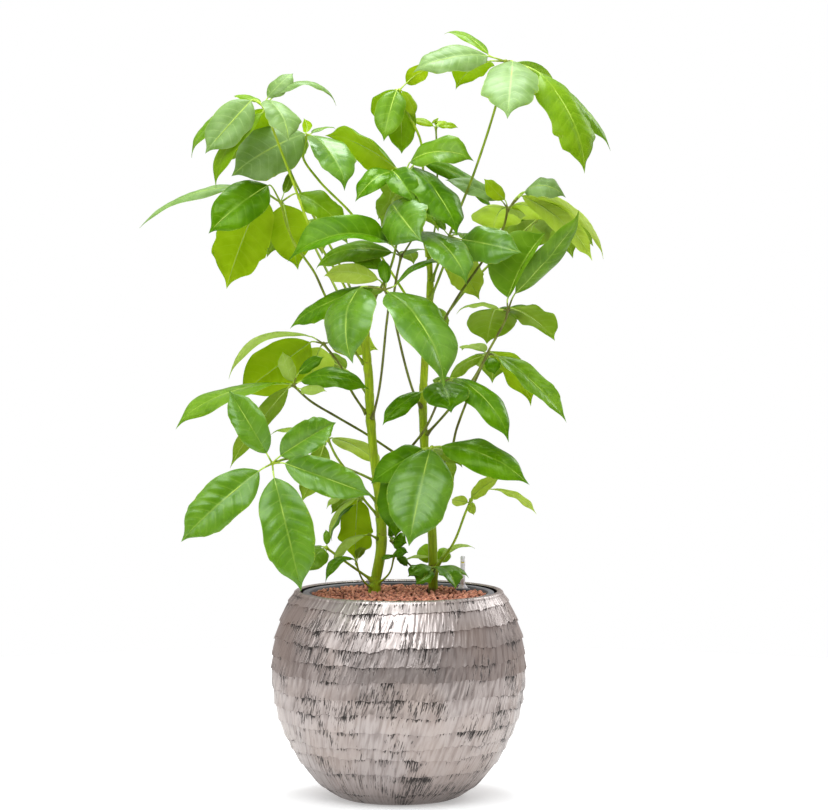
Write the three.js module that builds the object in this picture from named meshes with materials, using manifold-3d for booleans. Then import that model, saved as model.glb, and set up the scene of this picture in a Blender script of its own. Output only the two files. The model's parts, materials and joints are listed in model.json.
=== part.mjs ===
// Umbrella plant with two stems, planted in clay granules in a plastic insert that stands in a globe planter.
// Millimetres, +Z up. The origin is the centre of the planter's foot, and the front faces -Y.

import * as THREE from 'three';
import { mergeVertices } from 'three/addons/utils/BufferGeometryUtils.js';
import Module from 'manifold-3d';

const wasm = await Module();
wasm.setup();

// Driving dimensions.
const gap = 0.3;                  // clearance between pieces that touch
const roundSides = 36;            // sides of the planter, the insert and the granules

const planterRadius = 200;
const planterHeight = 325;
const footRadius = 88;
const wall = 5;
const floorTop = 8;

const rimRadius = 150;            // insert
const rimTop = 322;
const granuleRadius = 138;
const granuleTop = 316;
const insertFloorRadius = 92;
const insertShoulderRadius = 134;
const insertShoulder = 110;       // height where the insert's taper turns steep
const insertWall = 3;

const gaugeAcross = 101;          // water-level gauge, at the back right of the granules
const gaugeDepth = 60;
const gaugeTop = 372;
const gaugeFoot = 116;
const gaugeTubeRadius = 10;
const gaugeHeadRadius = 12;
const windowRadius = 3.7;
const windowWall = 1;

const stalkRadius = 2.1;          // leaf stalk in its middle
const stalkFootRadius = 3.2;      // where it clasps the stem
const hubRadius = 3.4;
const veinRadius = 1.2;           // half the thickness of a blade at its midrib
const stalkSides = 4;
const stemSides = 8;

// The plan of the plant is drawn in a straight front view, on the plane of the planter's axis.
// Each point is [across, depth, up], and a point in front of the plane is drawn as large as the eye sees it.
const eyeAcross = 24;
const eyeDistance = 5900;
const eyeHeight = 965;

function place([across, depth, up]) {
  const nearer = (eyeDistance + depth) / eyeDistance;
  const x = eyeAcross + (across - eyeAcross) * nearer;
  const z = eyeHeight + (up - eyeHeight) * nearer;
  return new THREE.Vector3(x, depth, z);
}

// Directions that the upper side of a blade faces.
const up = [0, -0.15, 1];
const front = [0, -1, 0.3];
const frontUp = [0, -0.7, 0.7];
const frontLeft = [-0.5, -0.75, 0.45];
const frontRight = [0.5, -0.75, 0.45];
const left = [-0.8, -0.25, 0.5];
const right = [0.8, -0.25, 0.5];
const back = [0, 1, 0.35];
const backUp = [0, 0.55, 0.8];
const backLeft = [-0.5, 0.7, 0.5];
const backRight = [0.5, 0.7, 0.5];

// A blade runs from base to tip, wide at its middle. Its midrib bows out by arch on the upper side.
function blade(base, tip, wide, face, arch = 8) {
  return { base, tip, wide, face, arch };
}

const stems = {
  stem_left: {
    path: [[-38, 44, 200], [-38, 44, 322], [-27, 42, 395], [-29, 40, 458], [-38, 36, 528],
      [-44, 32, 598], [-46, 28, 652], [-51, 22, 726], [-42, 16, 776]],
    radii: [6.5, 8, 8.4, 7.6, 6.8, 6.8, 6.8, 6.2, 3.4],
  },
  stem_right: {
    path: [[54, 62, 200], [54, 62, 330], [52, 60, 419], [44, 55, 497], [40, 51, 551],
      [38, 47, 621], [40, 43, 668], [44, 39, 730], [49, 34, 802], [47, 30, 856]],
    radii: [6.5, 7.2, 7, 6.6, 6.6, 6.2, 6, 6, 5, 3.2],
  },
};

// Each leaf: the stem it grows on and the height there, the stalk's way to the hub, and the blades.
const leaves = {
  leaf_top_right: {
    stem: 'stem_right', height: 800,
    stalk: [[63, 18, 838], [97, -8, 924], [119, -22, 980], [153, -36, 1087], [166, -40, 1148]],
    blades: [
      blade([138, -48, 1156], [21, -98, 1135], 64, frontUp, 13),
      blade([139, -32, 1159], [71, 24, 1196], 30, up, 8),
      blade([177, -56, 1148], [169, -196, 1061], 90, frontUp, 12),
      blade([140, -24, 1148], [88, 54, 1109], 56, backUp, 8),
      blade([220, -62, 1128], [292, -122, 975], 84, frontRight, 20),
      blade([208, -24, 1136], [332, 24, 1011], 46, right, 14),
      blade([182, -14, 1146], [235, 96, 1083], 62, backUp, 14),
    ],
  },
  leaf_young_top: {
    stem: 'stem_right', height: 836,
    stalk: [[36, 22, 890], [38, 26, 960], [34, 26, 1026], [10, 16, 1075], [1, 10, 1103]],
    blades: [
      blade([-3, 2, 1103], [-23, -38, 1025], 46, front, 6),
      blade([6, 12, 1102], [26, 14, 1061], 26, frontRight, 4),
      blade([3, 20, 1100], [5, 44, 1002], 48, front, 5),
      blade([12, 18, 1114], [49, 16, 1136], 30, back, 8),
      blade([-6, 22, 1104], [-36, 92, 1054], 42, backUp, 9),
    ],
  },
  leaf_bud: {
    stem: 'stem_right', height: 850,
    stalk: [[58, 48, 900], [60, 52, 992], [58, 44, 1045]],
    blades: [
      blade([54, 44, 1048], [19, 58, 1059], 16, frontUp, 4),
      blade([62, 42, 1047], [93, 38, 1046], 14, frontUp, 4),
      blade([58, 40, 1050], [62, 22, 1060], 12, frontUp, 3),
      blade([60, 50, 1048], [74, 88, 1052], 18, up, 5),
    ],
  },
  leaf_upper_centre: {
    stem: 'stem_left', height: 770,
    stalk: [[-12, 12, 830], [2, 0, 900], [9, -18, 968]],
    blades: [
      blade([-4, -12, 984], [-111, 52, 1039], 92, backUp, 8),
      blade([-9, -26, 977], [-68, -72, 931], 42, frontUp, 16),
      blade([-10, -34, 979], [26, -104, 927], 46, front, 8),
      blade([19, -20, 993], [119, -58, 997], 62, frontUp, 20),
      blade([24, -36, 984], [94, -128, 881], 76, frontRight, 10),
      blade([36, 10, 992], [147, 92, 917], 42, frontUp, 20),
      blade([-10, -44, 928], [35, -150, 869], 88, frontLeft, 14),
      blade([4, 4, 972], [-16, 84, 930], 46, backUp, 10),
    ],
  },
  leaf_upper_left: {
    stem: 'stem_right', height: 728,
    stalk: [[24, 62, 765], [-1, 68, 805], [-24, 66, 841], [-49, 60, 878], [-75, 50, 914], [-124, 26, 964],
      [-149, 8, 1003], [-141, 0, 1033]],
    blades: [
      blade([-146, -10, 1036], [-261, -44, 971], 84, front, 12),
      blade([-134, -10, 1033], [-80, -88, 951], 70, frontRight, 14),
      blade([-143, 8, 1038], [-147, 34, 1060], 16, back, 3),
      blade([-135, 10, 1037], [-98, 44, 1045], 20, up, 4),
      blade([-148, 8, 1030], [-206, 100, 985], 60, backUp, 10),
    ],
  },
  leaf_top_left: {
    stem: 'stem_left', height: 722,
    stalk: [[-83, 2, 797], [-119, -24, 858], [-139, -40, 894], [-159, -56, 948], [-184, -72, 1014],
      [-198, -78, 1051], [-209, -80, 1078]],
    blades: [
      blade([-229, -88, 1087], [-301, -128, 1006], 60, front, 8),
      blade([-226, -66, 1088], [-327, -52, 1001], 46, left, 14),
      blade([-214, -66, 1084], [-256, -22, 1095], 26, up, 4),
      blade([-212, -90, 1068], [-289, -98, 952], 36, frontLeft, 18),
      blade([-206, -60, 1074], [-250, 34, 980], 46, back, 24),
      blade([-203, -72, 1092], [-163, -50, 1131], 34, frontUp, 6),
      blade([-193, -70, 1094], [-93, -44, 1082], 36, up, 28),
      blade([-203, -94, 1088], [-169, -152, 1026], 60, frontRight, 10),
    ],
  },
  leaf_left_middle: {
    stem: 'stem_left', height: 672,
    stalk: [[-71, 24, 702], [-113, 14, 782], [-131, 10, 821], [-149, 6, 847], [-163, 2, 868],
      [-175, 0, 899], [-183, -5, 930]],
    blades: [
      blade([-203, -12, 956], [-296, -66, 883], 68, front, 10),
      blade([-212, 6, 940], [-268, 44, 796], 90, back, 8),
      blade([-178, 14, 926], [-156, 74, 827], 66, back, 8),
      blade([-156, -10, 943], [-83, -30, 886], 56, frontRight, 12),
      blade([-224, 2, 952], [-404, 8, 891], 38, up, 22),
      blade([-178, 4, 944], [-166, 22, 980], 16, back, 3),
    ],
  },
  leaf_centre_front: {
    stem: 'stem_left', height: 585,
    stalk: [[-30, -2, 640], [-20, -45, 730], [-16, -78, 777], [-21, -90, 794]],
    blades: [
      blade([-60, -100, 797], [-74, -172, 678], 92, frontLeft, 24),
      blade([-15, -108, 790], [75, -204, 643], 96, frontRight, 24),
      blade([-19, -92, 804], [-25, -66, 843], 20, frontUp, 4),
      blade([-32, -78, 810], [-119, -60, 818], 44, frontUp, 12),
      blade([-28, -58, 826], [-90, -4, 858], 40, frontUp, 8),
      blade([-4, -88, 802], [111, -66, 800], 42, up, 36),
      blade([-26, -78, 796], [-74, -4, 770], 36, backUp, 8),
      blade([-38, -72, 798], [-173, -34, 736], 46, frontUp, 10),
    ],
  },
  leaf_centre: {
    stem: 'stem_right', height: 606,
    stalk: [[24, 22, 632], [3, -8, 707], [-8, -24, 769], [-4, -40, 808], [4, -52, 846]],
    blades: [
      blade([-14, -66, 866], [-175, -112, 839], 62, frontUp, 36),
      blade([38, -74, 884], [108, -150, 805], 74, frontRight, 14),
      blade([10, -48, 848], [43, -24, 856], 20, up, 3),
      blade([-10, -46, 852], [-133, -16, 828], 44, frontUp, 22),
      blade([6, -42, 852], [24, 18, 834], 28, backUp, 8),
    ],
  },
  leaf_centre_right: {
    stem: 'stem_right', height: 775,
    stalk: [[62, 14, 810], [76, -6, 850], [80, -16, 877]],
    blades: [
      blade([98, -30, 872], [192, -88, 852], 64, front, 12),
      blade([82, 0, 866], [126, 52, 780], 56, back, 6),
      blade([88, 0, 880], [132, 92, 852], 52, up, 10),
      blade([72, -14, 886], [52, 6, 916], 20, up, 4),
    ],
  },
  leaf_right_upper: {
    stem: 'stem_right', height: 690,
    stalk: [[83, 24, 768], [105, 18, 802], [127, 12, 833], [161, 4, 886], [170, 0, 919]],
    blades: [
      blade([168, 12, 922], [146, 122, 884], 84, backUp, 10),
      blade([165, -6, 934], [133, -22, 967], 26, front, 4),
      blade([158, 4, 934], [72, 8, 966], 34, frontUp, 8),
      blade([196, -12, 946], [262, -34, 938], 44, frontUp, 20),
      blade([192, -2, 940], [304, -12, 839], 52, backRight, 16),
      blade([200, 14, 946], [321, 34, 842], 48, right, 26),
      blade([178, 16, 926], [232, 104, 900], 58, backUp, 10),
    ],
  },
  leaf_right: {
    stem: 'stem_right', height: 563,
    stalk: [[75, 22, 603], [116, -4, 654], [142, -18, 702], [167, -30, 749], [170, -34, 762]],
    blades: [
      blade([170, -42, 782], [228, -34, 884], 76, frontLeft, 10),
      blade([182, -28, 788], [287, -66, 913], 46, right, 12),
      blade([177, -30, 766], [244, 30, 716], 66, backRight, 8),
      blade([150, -24, 764], [137, 58, 712], 78, backUp, 10),
      blade([156, -38, 764], [88, -20, 760], 38, up, 8),
      blade([172, -22, 766], [196, 66, 744], 50, backUp, 10),
    ],
  },
  leaf_right_behind: {
    stem: 'stem_right', height: 498,
    stalk: [[79, 62, 536], [91, 66, 579], [119, 72, 651], [139, 76, 694]],
    blades: [
      blade([144, 84, 698], [209, 132, 614], 62, backRight, 14),
      blade([156, 66, 690], [264, 8, 589], 46, frontRight, 12),
      blade([142, 66, 688], [150, 44, 662], 26, front, 4),
      blade([131, 70, 692], [76, 44, 654], 40, backUp, 6),
      blade([134, 84, 697], [98, 134, 700], 38, up, 8),
      blade([140, 88, 694], [146, 172, 650], 52, backUp, 12),
    ],
  },
  leaf_right_lower: {
    stem: 'stem_left', height: 464,
    stalk: [[-8, 14, 500], [12, -4, 538], [40, -26, 575], [58, -44, 612], [69, -64, 651]],
    blades: [
      blade([62, -76, 650], [82, -164, 603], 70, frontUp, 10),
      blade([86, -70, 656], [175, -134, 557], 56, frontRight, 22),
      blade([34, -68, 634], [-27, -98, 584], 32, frontUp, 8),
      blade([66, -56, 654], [70, 8, 640], 34, backUp, 8),
    ],
  },
  leaf_lower_front: {
    stem: 'stem_right', height: 492,
    stalk: [[49, 20, 520], [52, -20, 538], [52, -44, 548]],
    blades: [
      blade([49, -56, 545], [16, -128, 394], 98, front, 8),
      blade([67, -50, 550], [205, -96, 490], 62, frontUp, 20),
      blade([38, -46, 545], [-44, -52, 492], 58, frontLeft, 6),
      blade([16, -36, 536], [-6, -30, 404], 74, front, 6),
      blade([56, -34, 548], [100, 30, 520], 44, backUp, 8),
    ],
  },
  leaf_left: {
    stem: 'stem_left', height: 592,
    stalk: [[-74, 34, 637], [-91, 36, 676], [-117, 36, 710]],
    blades: [
      blade([-139, 30, 722], [-268, 2, 656], 36, up, 32),
      blade([-138, 42, 712], [-250, 84, 629], 82, back, 8),
      blade([-122, 46, 704], [-138, 96, 643], 62, back, 6),
      blade([-106, 50, 712], [-32, 100, 702], 46, back, 8),
    ],
  },
  leaf_left_long: {
    stem: 'stem_right', height: 506,
    stalk: [[5, 62, 532], [-49, 54, 568], [-95, 34, 595], [-138, 14, 621], [-164, -2, 645]],
    blades: [
      blade([-170, -12, 648], [-352, -54, 582], 54, up, 20),
      blade([-172, -2, 642], [-265, 26, 517], 44, backLeft, 8),
      blade([-164, 4, 651], [-181, 18, 699], 26, front, 4),
      blade([-156, -8, 664], [-116, -12, 690], 24, frontUp, 4),
      blade([-152, -12, 652], [-44, -34, 638], 44, frontUp, 20),
      blade([-152, -20, 640], [-112, -56, 636], 26, frontUp, 5),
    ],
  },
  leaf_front_left: {
    stem: 'stem_left', height: 494,
    stalk: [[-66, -2, 509], [-120, -80, 527], [-175, -152, 530], [-197, -172, 523]],
    blades: [
      blade([-206, -176, 539], [-265, -164, 638], 50, front, 6),
      blade([-184, -170, 535], [-96, -160, 589], 52, front, 8),
      blade([-177, -178, 523], [-40, -192, 473], 56, front, 8),
      blade([-194, -182, 500], [-152, -216, 322], 80, front, 10),
      blade([-218, -180, 511], [-342, -204, 400], 70, front, 10),
    ],
  },
  leaf_left_behind: {
    stem: 'stem_left', height: 458,
    stalk: [[-70, 4, 500], [-96, -20, 532], [-110, -30, 560]],
    blades: [
      blade([-102, -12, 563], [-26, 106, 519], 40, backUp, 8),
      blade([-118, -28, 566], [-201, 24, 571], 36, up, 8),
      blade([-114, -42, 556], [-152, -92, 540], 30, up, 6),
      blade([-116, -30, 552], [-152, 14, 462], 40, back, 6),
    ],
  },
  leaf_low_hanging: {
    stem: 'stem_left', height: 436,
    stalk: [[-42, 26, 452], [-57, 14, 470]],
    blades: [
      blade([-64, 18, 466], [-67, 38, 369], 58, back, 6),
      blade([-66, 8, 474], [-114, -16, 453], 22, up, 8),
      blade([-62, 2, 472], [-110, -38, 409], 30, left, 10),
      blade([-70, 24, 458], [-108, 22, 402], 30, left, 8),
      blade([-62, 22, 472], [-106, 80, 446], 40, backUp, 8),
    ],
  },
  leaf_low_single: {
    stem: 'stem_left', height: 402,
    stalk: [[-46, 22, 412]],
    blades: [blade([-53, 12, 411], [-105, -34, 362], 24, up, 16)],
  },
  leaf_low_left: {
    stem: 'stem_left', height: 336,
    stalk: [[-83, 4, 369], [-113, -20, 391]],
    blades: [
      blade([-118, -22, 390], [-148, -58, 352], 40, frontUp, 6),
      blade([-113, -24, 384], [-112, -40, 370], 10, front, 2),
      blade([-112, -14, 396], [-114, -6, 420], 12, front, 2),
      blade([-120, -10, 393], [-172, 38, 372], 40, up, 6),
    ],
  },
  leaf_low_shoot: {
    stem: 'stem_left', height: 324,
    stalk: [[-56, 12, 340], [-66, -12, 366]],
    blades: [
      blade([-70, -24, 373], [-116, -80, 337], 26, up, 18),
      blade([-64, -20, 374], [-52, -40, 392], 16, backUp, 3),
    ],
  },
  leaf_low_centre: {
    stem: 'stem_left', height: 330,
    stalk: [[-14, 20, 352], [-7, 12, 378]],
    blades: [
      blade([-9, 2, 380], [15, -12, 384], 20, frontUp, 3),
      blade([-12, 6, 380], [-26, -16, 371], 18, up, 3),
      blade([-3, 14, 377], [14, 14, 361], 16, frontRight, 3),
    ],
  },
  leaf_low_dark: {
    stem: 'stem_right', height: 341,
    stalk: [[21, 44, 361], [1, 38, 384], [-12, 32, 402]],
    blades: [
      blade([-11, 27, 408], [-6, 10, 439], 28, frontRight, 3),
      blade([-8, 26, 402], [13, 6, 398], 28, front, 4),
      blade([-8, 42, 404], [0, 88, 396], 26, up, 5),
    ],
  },
  leaf_low_right: {
    stem: 'stem_right', height: 352,
    stalk: [[74, 50, 380], [88, 42, 403], [104, 30, 445], [113, 22, 466]],
    blades: [
      blade([113, 16, 469], [158, -8, 502], 30, frontLeft, 5),
      blade([146, 12, 483], [216, -12, 444], 28, up, 10),
      blade([108, 20, 462], [82, 4, 467], 20, backLeft, 3),
      blade([115, 18, 462], [118, 6, 442], 14, front, 2),
    ],
  },
  leaf_foot_right: {
    stem: 'stem_right', height: 350,
    stalk: [[55, 34, 358]],
    blades: [
      blade([50, 28, 361], [14, -2, 346], 34, frontUp, 6),
      blade([52, 26, 355], [26, -8, 333], 30, frontUp, 5),
      blade([59, 26, 361], [90, -18, 326], 46, frontRight, 10),
      blade([62, 34, 360], [110, 26, 344], 24, up, 8),
    ],
  },
  leaf_foot_back: {
    stem: 'stem_right', height: 356,
    stalk: [[58, 84, 368]],
    blades: [
      blade([54, 88, 370], [32, 122, 391], 30, frontLeft, 4),
      blade([62, 88, 370], [76, 116, 391], 24, frontRight, 4),
      blade([64, 90, 374], [120, 104, 393], 24, up, 8),
      blade([52, 92, 376], [8, 106, 372], 20, up, 4),
    ],
  },
  leaf_back_top_left: {
    stem: 'stem_left', height: 740,
    stalk: [[-100, 80, 850], [-160, 120, 960], [-196, 128, 1042]],
    blades: [
      blade([-206, 132, 1040], [-272, 158, 990], 52, backUp, 14),
      blade([-202, 142, 1040], [-244, 230, 982], 60, backUp, 14),
      blade([-190, 142, 1040], [-176, 238, 992], 60, backUp, 14),
      blade([-186, 132, 1042], [-146, 180, 996], 50, backUp, 12),
    ],
  },
  leaf_back_upper: {
    stem: 'stem_right', height: 834,
    stalk: [[38, 90, 880], [30, 160, 930], [30, 186, 950]],
    blades: [
      blade([22, 190, 948], [-34, 226, 904], 50, backUp, 14),
      blade([24, 200, 948], [-28, 304, 892], 64, backUp, 16),
      blade([34, 202, 948], [62, 318, 886], 64, backUp, 16),
      blade([42, 194, 948], [92, 244, 904], 50, backUp, 14),
      blade([32, 176, 946], [54, 108, 900], 44, frontUp, 10),
    ],
  },
  leaf_back_left: {
    stem: 'stem_left', height: 690,
    stalk: [[-80, 90, 760], [-130, 170, 860], [-150, 200, 902]],
    blades: [
      blade([-160, 200, 900], [-240, 214, 862], 56, backUp, 14),
      blade([-156, 212, 900], [-206, 306, 848], 68, backUp, 16),
      blade([-144, 214, 900], [-118, 322, 852], 72, backUp, 16),
      blade([-138, 202, 900], [-76, 246, 866], 54, backUp, 14),
    ],
  },
  leaf_back_right: {
    stem: 'stem_right', height: 712,
    stalk: [[110, 90, 800], [190, 150, 880], [224, 168, 910]],
    blades: [
      blade([234, 170, 908], [304, 196, 862], 58, backUp, 14),
      blade([230, 182, 906], [272, 280, 846], 68, backUp, 16),
      blade([220, 182, 906], [200, 288, 848], 68, backUp, 16),
      blade([214, 172, 908], [160, 214, 876], 54, backUp, 12),
    ],
  },
  leaf_back_middle: {
    stem: 'stem_right', height: 640,
    stalk: [[46, 110, 712], [42, 166, 766]],
    blades: [
      blade([47, 178, 765], [62, 278, 712], 50, backUp, 16),
      blade([38, 178, 765], [16, 272, 716], 50, backUp, 16),
      blade([50, 168, 765], [72, 200, 724], 38, backUp, 10),
      blade([34, 164, 764], [16, 190, 726], 36, backUp, 8),
    ],
  },
  leaf_back_low_left: {
    stem: 'stem_left', height: 626,
    stalk: [[-76, 96, 664], [-130, 160, 694]],
    blades: [
      blade([-140, 164, 692], [-222, 190, 650], 56, backUp, 14),
      blade([-136, 172, 690], [-190, 270, 638], 66, backUp, 16),
      blade([-126, 174, 690], [-104, 282, 646], 66, backUp, 16),
      blade([-120, 164, 692], [-82, 212, 662], 44, backUp, 12),
    ],
  },
  leaf_back_low: {
    stem: 'stem_right', height: 470,
    stalk: [[40, 110, 500], [34, 160, 536]],
    blades: [
      blade([40, 170, 534], [76, 266, 482], 58, backUp, 14),
      blade([26, 170, 534], [-10, 258, 482], 58, backUp, 14),
      blade([42, 160, 534], [88, 190, 496], 44, backUp, 12),
      blade([24, 160, 534], [-22, 184, 500], 42, backUp, 12),
    ],
  },
};

// A closed body through rings of points, or a single point at either end. Each ring turns from the side
// direction to the normal, and the normal follows the side on the way along the path.
function loft(rings) {
  const positions = [];
  const starts = [];
  for (const ring of rings) {
    starts.push(positions.length / 3);
    for (const p of ring) positions.push(p.x, p.y, p.z);
  }
  const index = [];
  for (let i = 0; i + 1 < rings.length; i += 1) {
    const a = rings[i].length;
    const b = rings[i + 1].length;
    const sides = Math.max(a, b);
    for (let j = 0; j < sides; j += 1) {
      const a0 = starts[i] + (j % a);
      const a1 = starts[i] + ((j + 1) % a);
      const b0 = starts[i + 1] + (j % b);
      const b1 = starts[i + 1] + ((j + 1) % b);
      if (a > 1) index.push(a0, a1, b > 1 ? b1 : b0);
      if (b > 1) index.push(a0, b1, b0);
    }
  }
  const first = rings[0];
  const last = rings[rings.length - 1];
  for (let j = 1; j + 1 < first.length; j += 1) index.push(starts[0], starts[0] + j + 1, starts[0] + j);
  const end = starts[starts.length - 1];
  for (let j = 1; j + 1 < last.length; j += 1) index.push(end, end + j, end + j + 1);
  const geometry = new THREE.BufferGeometry();
  geometry.setAttribute('position', new THREE.Float32BufferAttribute(positions, 3));
  geometry.setIndex(index);
  return geometry;
}

function ringAt(centre, side, normal, halfWide, halfThick, sides) {
  const points = [];
  for (let j = 0; j < sides; j += 1) {
    const angle = (2 * Math.PI * j) / sides;
    const point = centre.clone();
    point.addScaledVector(side, halfWide * Math.cos(angle));
    point.addScaledVector(normal, halfThick * Math.sin(angle));
    points.push(point);
  }
  return points;
}

// A round rod along a smooth curve, with one radius for each of its stations.
function rod(curve, radii, sides) {
  const steps = radii.length - 1;
  const frames = curve.computeFrenetFrames(steps, false);
  const rings = radii.map((radius, i) => {
    const centre = curve.getPointAt(i / steps);
    return ringAt(centre, frames.normals[i], frames.binormals[i], radius, radius, sides);
  });
  return loft(rings);
}

const stemCurves = {};
for (const [name, stem] of Object.entries(stems)) {
  stemCurves[name] = new THREE.CatmullRomCurve3(stem.path.map(place), false, 'centripetal');
}

function stemSolid(name, clearance) {
  const radii = stems[name].radii;
  const curve = stemCurves[name];
  const steps = radii.length - 1;
  const frames = curve.computeFrenetFrames(steps, false);
  const rings = radii.map((radius, i) => {
    const centre = curve.getPoint(i / steps);
    const size = radius + clearance;
    return ringAt(centre, frames.normals[i], frames.binormals[i], size, size, stemSides);
  });
  return loft(rings);
}

// The point of a stem's axis at a height of the front view.
function stemPoint(name, height) {
  const target = place([0, 40, height]).z;
  let low = 0;
  let high = 1;
  for (let i = 0; i < 30; i += 1) {
    const middle = (low + high) / 2;
    if (stemCurves[name].getPoint(middle).z < target) low = middle;
    else high = middle;
  }
  return stemCurves[name].getPoint(low);
}

// Half widths of a blade along its midrib, as shares of its widest half, and where they lie.
const bladeShares = [[0, 0.07], [0.28, 0.93], [0.7, 0.8]];

function bladeSolid(hub, plan) {
  const base = place(plan.base);
  const tip = place(plan.tip);
  const chord = tip.clone().sub(base).normalize();
  const face = new THREE.Vector3(...plan.face);
  const outward = face.clone().addScaledVector(chord, -face.dot(chord)).normalize();
  const control = base.clone().add(tip).multiplyScalar(0.5).addScaledVector(outward, 2 * plan.arch);
  const midrib = new THREE.QuadraticBezierCurve3(base, control, tip);
  const sectionAt = (centre, along, halfWide, halfThick) => {
    const normal = face.clone().addScaledVector(along, -face.dot(along)).normalize();
    const side = normal.clone().cross(along);
    return ringAt(centre, side, normal, halfWide, halfThick, 4);
  };
  const stalkWay = base.clone().sub(hub).normalize();
  const rings = [sectionAt(hub, stalkWay, veinRadius, veinRadius)];
  for (const [share, width] of bladeShares) {
    const centre = midrib.getPoint(share);
    rings.push(sectionAt(centre, midrib.getTangent(share), (plan.wide / 2) * width, veinRadius));
  }
  rings.push([tip]);
  return loft(rings);
}

function solidOf(geometry) {
  const bare = geometry.clone();
  bare.deleteAttribute('normal');
  bare.deleteAttribute('uv');
  const merged = mergeVertices(bare, 1e-4);
  const vertProperties = new Float32Array(merged.attributes.position.array);
  const triVerts = new Uint32Array(merged.index.array);
  return new wasm.Manifold(new wasm.Mesh({ numProp: 3, vertProperties, triVerts }));
}

function geometryOf(solid) {
  const mesh = solid.getMesh();
  const geometry = new THREE.BufferGeometry();
  geometry.setAttribute('position', new THREE.Float32BufferAttribute(mesh.vertProperties, 3));
  geometry.setIndex(new THREE.Uint32BufferAttribute(mesh.triVerts, 1));
  geometry.computeVertexNormals();
  return geometry;
}

function finish(color, roughness, metalness = 0) {
  return new THREE.MeshStandardMaterial({ color, roughness, metalness });
}

const group = new THREE.Group();

function addPiece(name, geometry, material) {
  const piece = new THREE.Mesh(geometry, material);
  piece.name = name;
  group.add(piece);
}

// A body turned about the Z axis from a closed profile of [radius, height] points.
function turned(profile) {
  const points = profile.map(([radius, height]) => new THREE.Vector2(radius, height));
  const geometry = new THREE.LatheGeometry(points, roundSides);
  geometry.rotateX(Math.PI / 2);
  return geometry;
}

// Outer radius of the planter against height: a globe with its belly a little above the middle.
const planterOutside = [[footRadius, 0], [96, 3], [118, 16], [137, 34], [159, 62], [174, 90], [190, 128],
  [197, 165], [planterRadius, 207], [195, 249], [187, 277], [175, 305], [165, 320]];
const planterRim = [[160, planterHeight], [155, planterHeight], [153, 321]];

function planterGeometry() {
  const inside = planterOutside.slice(3, 12).reverse().map(([radius, height]) => [radius - wall, height]);
  const floorEdge = [[116, 18], [100, floorTop], [0, floorTop]];
  return turned([[0, 0], ...planterOutside, ...planterRim, ...inside, ...floorEdge]);
}

function insertGeometry() {
  const foot = floorTop + gap;
  const floor = foot + insertWall;
  return turned([
    [0, foot], [insertFloorRadius, foot], [insertShoulderRadius, insertShoulder],
    [granuleRadius + 3, rimTop - 12], [rimRadius - 3, rimTop - 9], [rimRadius, rimTop - 7],
    [rimRadius, rimTop - 1.5], [rimRadius - 1.5, rimTop], [granuleRadius + 1.5, rimTop],
    [granuleRadius + gap, granuleTop], [insertShoulderRadius - insertWall, insertShoulder],
    [insertFloorRadius - insertWall, floor], [0, floor],
  ]);
}

function granulesGeometry() {
  const foot = floorTop + gap + insertWall + gap;
  const fill = turned([
    [0, foot], [insertFloorRadius - insertWall - gap, foot],
    [insertShoulderRadius - insertWall - gap, insertShoulder],
    [granuleRadius - gap, granuleTop - 1], [0, granuleTop],
  ]);
  let solid = solidOf(fill);
  for (const name of Object.keys(stems)) solid = solid.subtract(solidOf(stemSolid(name, gap)));
  const well = new THREE.CylinderGeometry(gaugeTubeRadius + gap, gaugeTubeRadius + gap, granuleTop, 24);
  well.rotateX(Math.PI / 2);
  well.translate(gaugeAcross, gaugeDepth, gaugeFoot - gap + granuleTop / 2);
  return geometryOf(solid.subtract(solidOf(well)));
}

// The gauge is turned about its own upright axis, and stands in the granules.
function gaugePiece(profile, sides = 12) {
  const points = profile.map(([radius, height]) => new THREE.Vector2(radius, height));
  const geometry = new THREE.LatheGeometry(points, sides);
  geometry.rotateX(Math.PI / 2);
  geometry.translate(gaugeAcross, gaugeDepth, 0);
  return geometry;
}

const headUnder = granuleTop + gap;
const headTop = headUnder + 4.5;
const pointerTop = headTop + 16;
const boreRadius = windowRadius - windowWall;

function gaugeBodyGeometry() {
  return gaugePiece([
    [0, gaugeFoot], [gaugeTubeRadius, gaugeFoot], [gaugeTubeRadius, headUnder], [gaugeHeadRadius, headUnder],
    [gaugeHeadRadius, headTop - 1], [gaugeHeadRadius - 1, headTop], [boreRadius, headTop],
    [boreRadius, headTop - 3], [gaugeTubeRadius - 1.5, headTop - 6],
    [gaugeTubeRadius - 1.5, gaugeFoot + 1.5], [0, gaugeFoot + 1.5],
  ]);
}

function gaugeWindowGeometry() {
  const foot = headTop + gap;
  return gaugePiece([
    [boreRadius, foot], [8, foot], [8, foot + 1.2], [windowRadius, foot + 7],
    [windowRadius, gaugeTop - 1], [windowRadius - 1, gaugeTop], [0, gaugeTop],
    [0, gaugeTop - windowWall], [boreRadius, gaugeTop - windowWall], [boreRadius, foot],
  ]);
}

function gaugeFloatGeometry() {
  const floatTop = gaugeFoot + 50;
  return gaugePiece([
    [0, gaugeFoot + 1.5 + gap], [7, gaugeFoot + 1.5 + gap], [7, floatTop], [0.9, floatTop + 3],
    [0.9, pointerTop - 6], [1.9, pointerTop - 6], [1.9, pointerTop], [0, pointerTop],
  ], 8);
}

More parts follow.
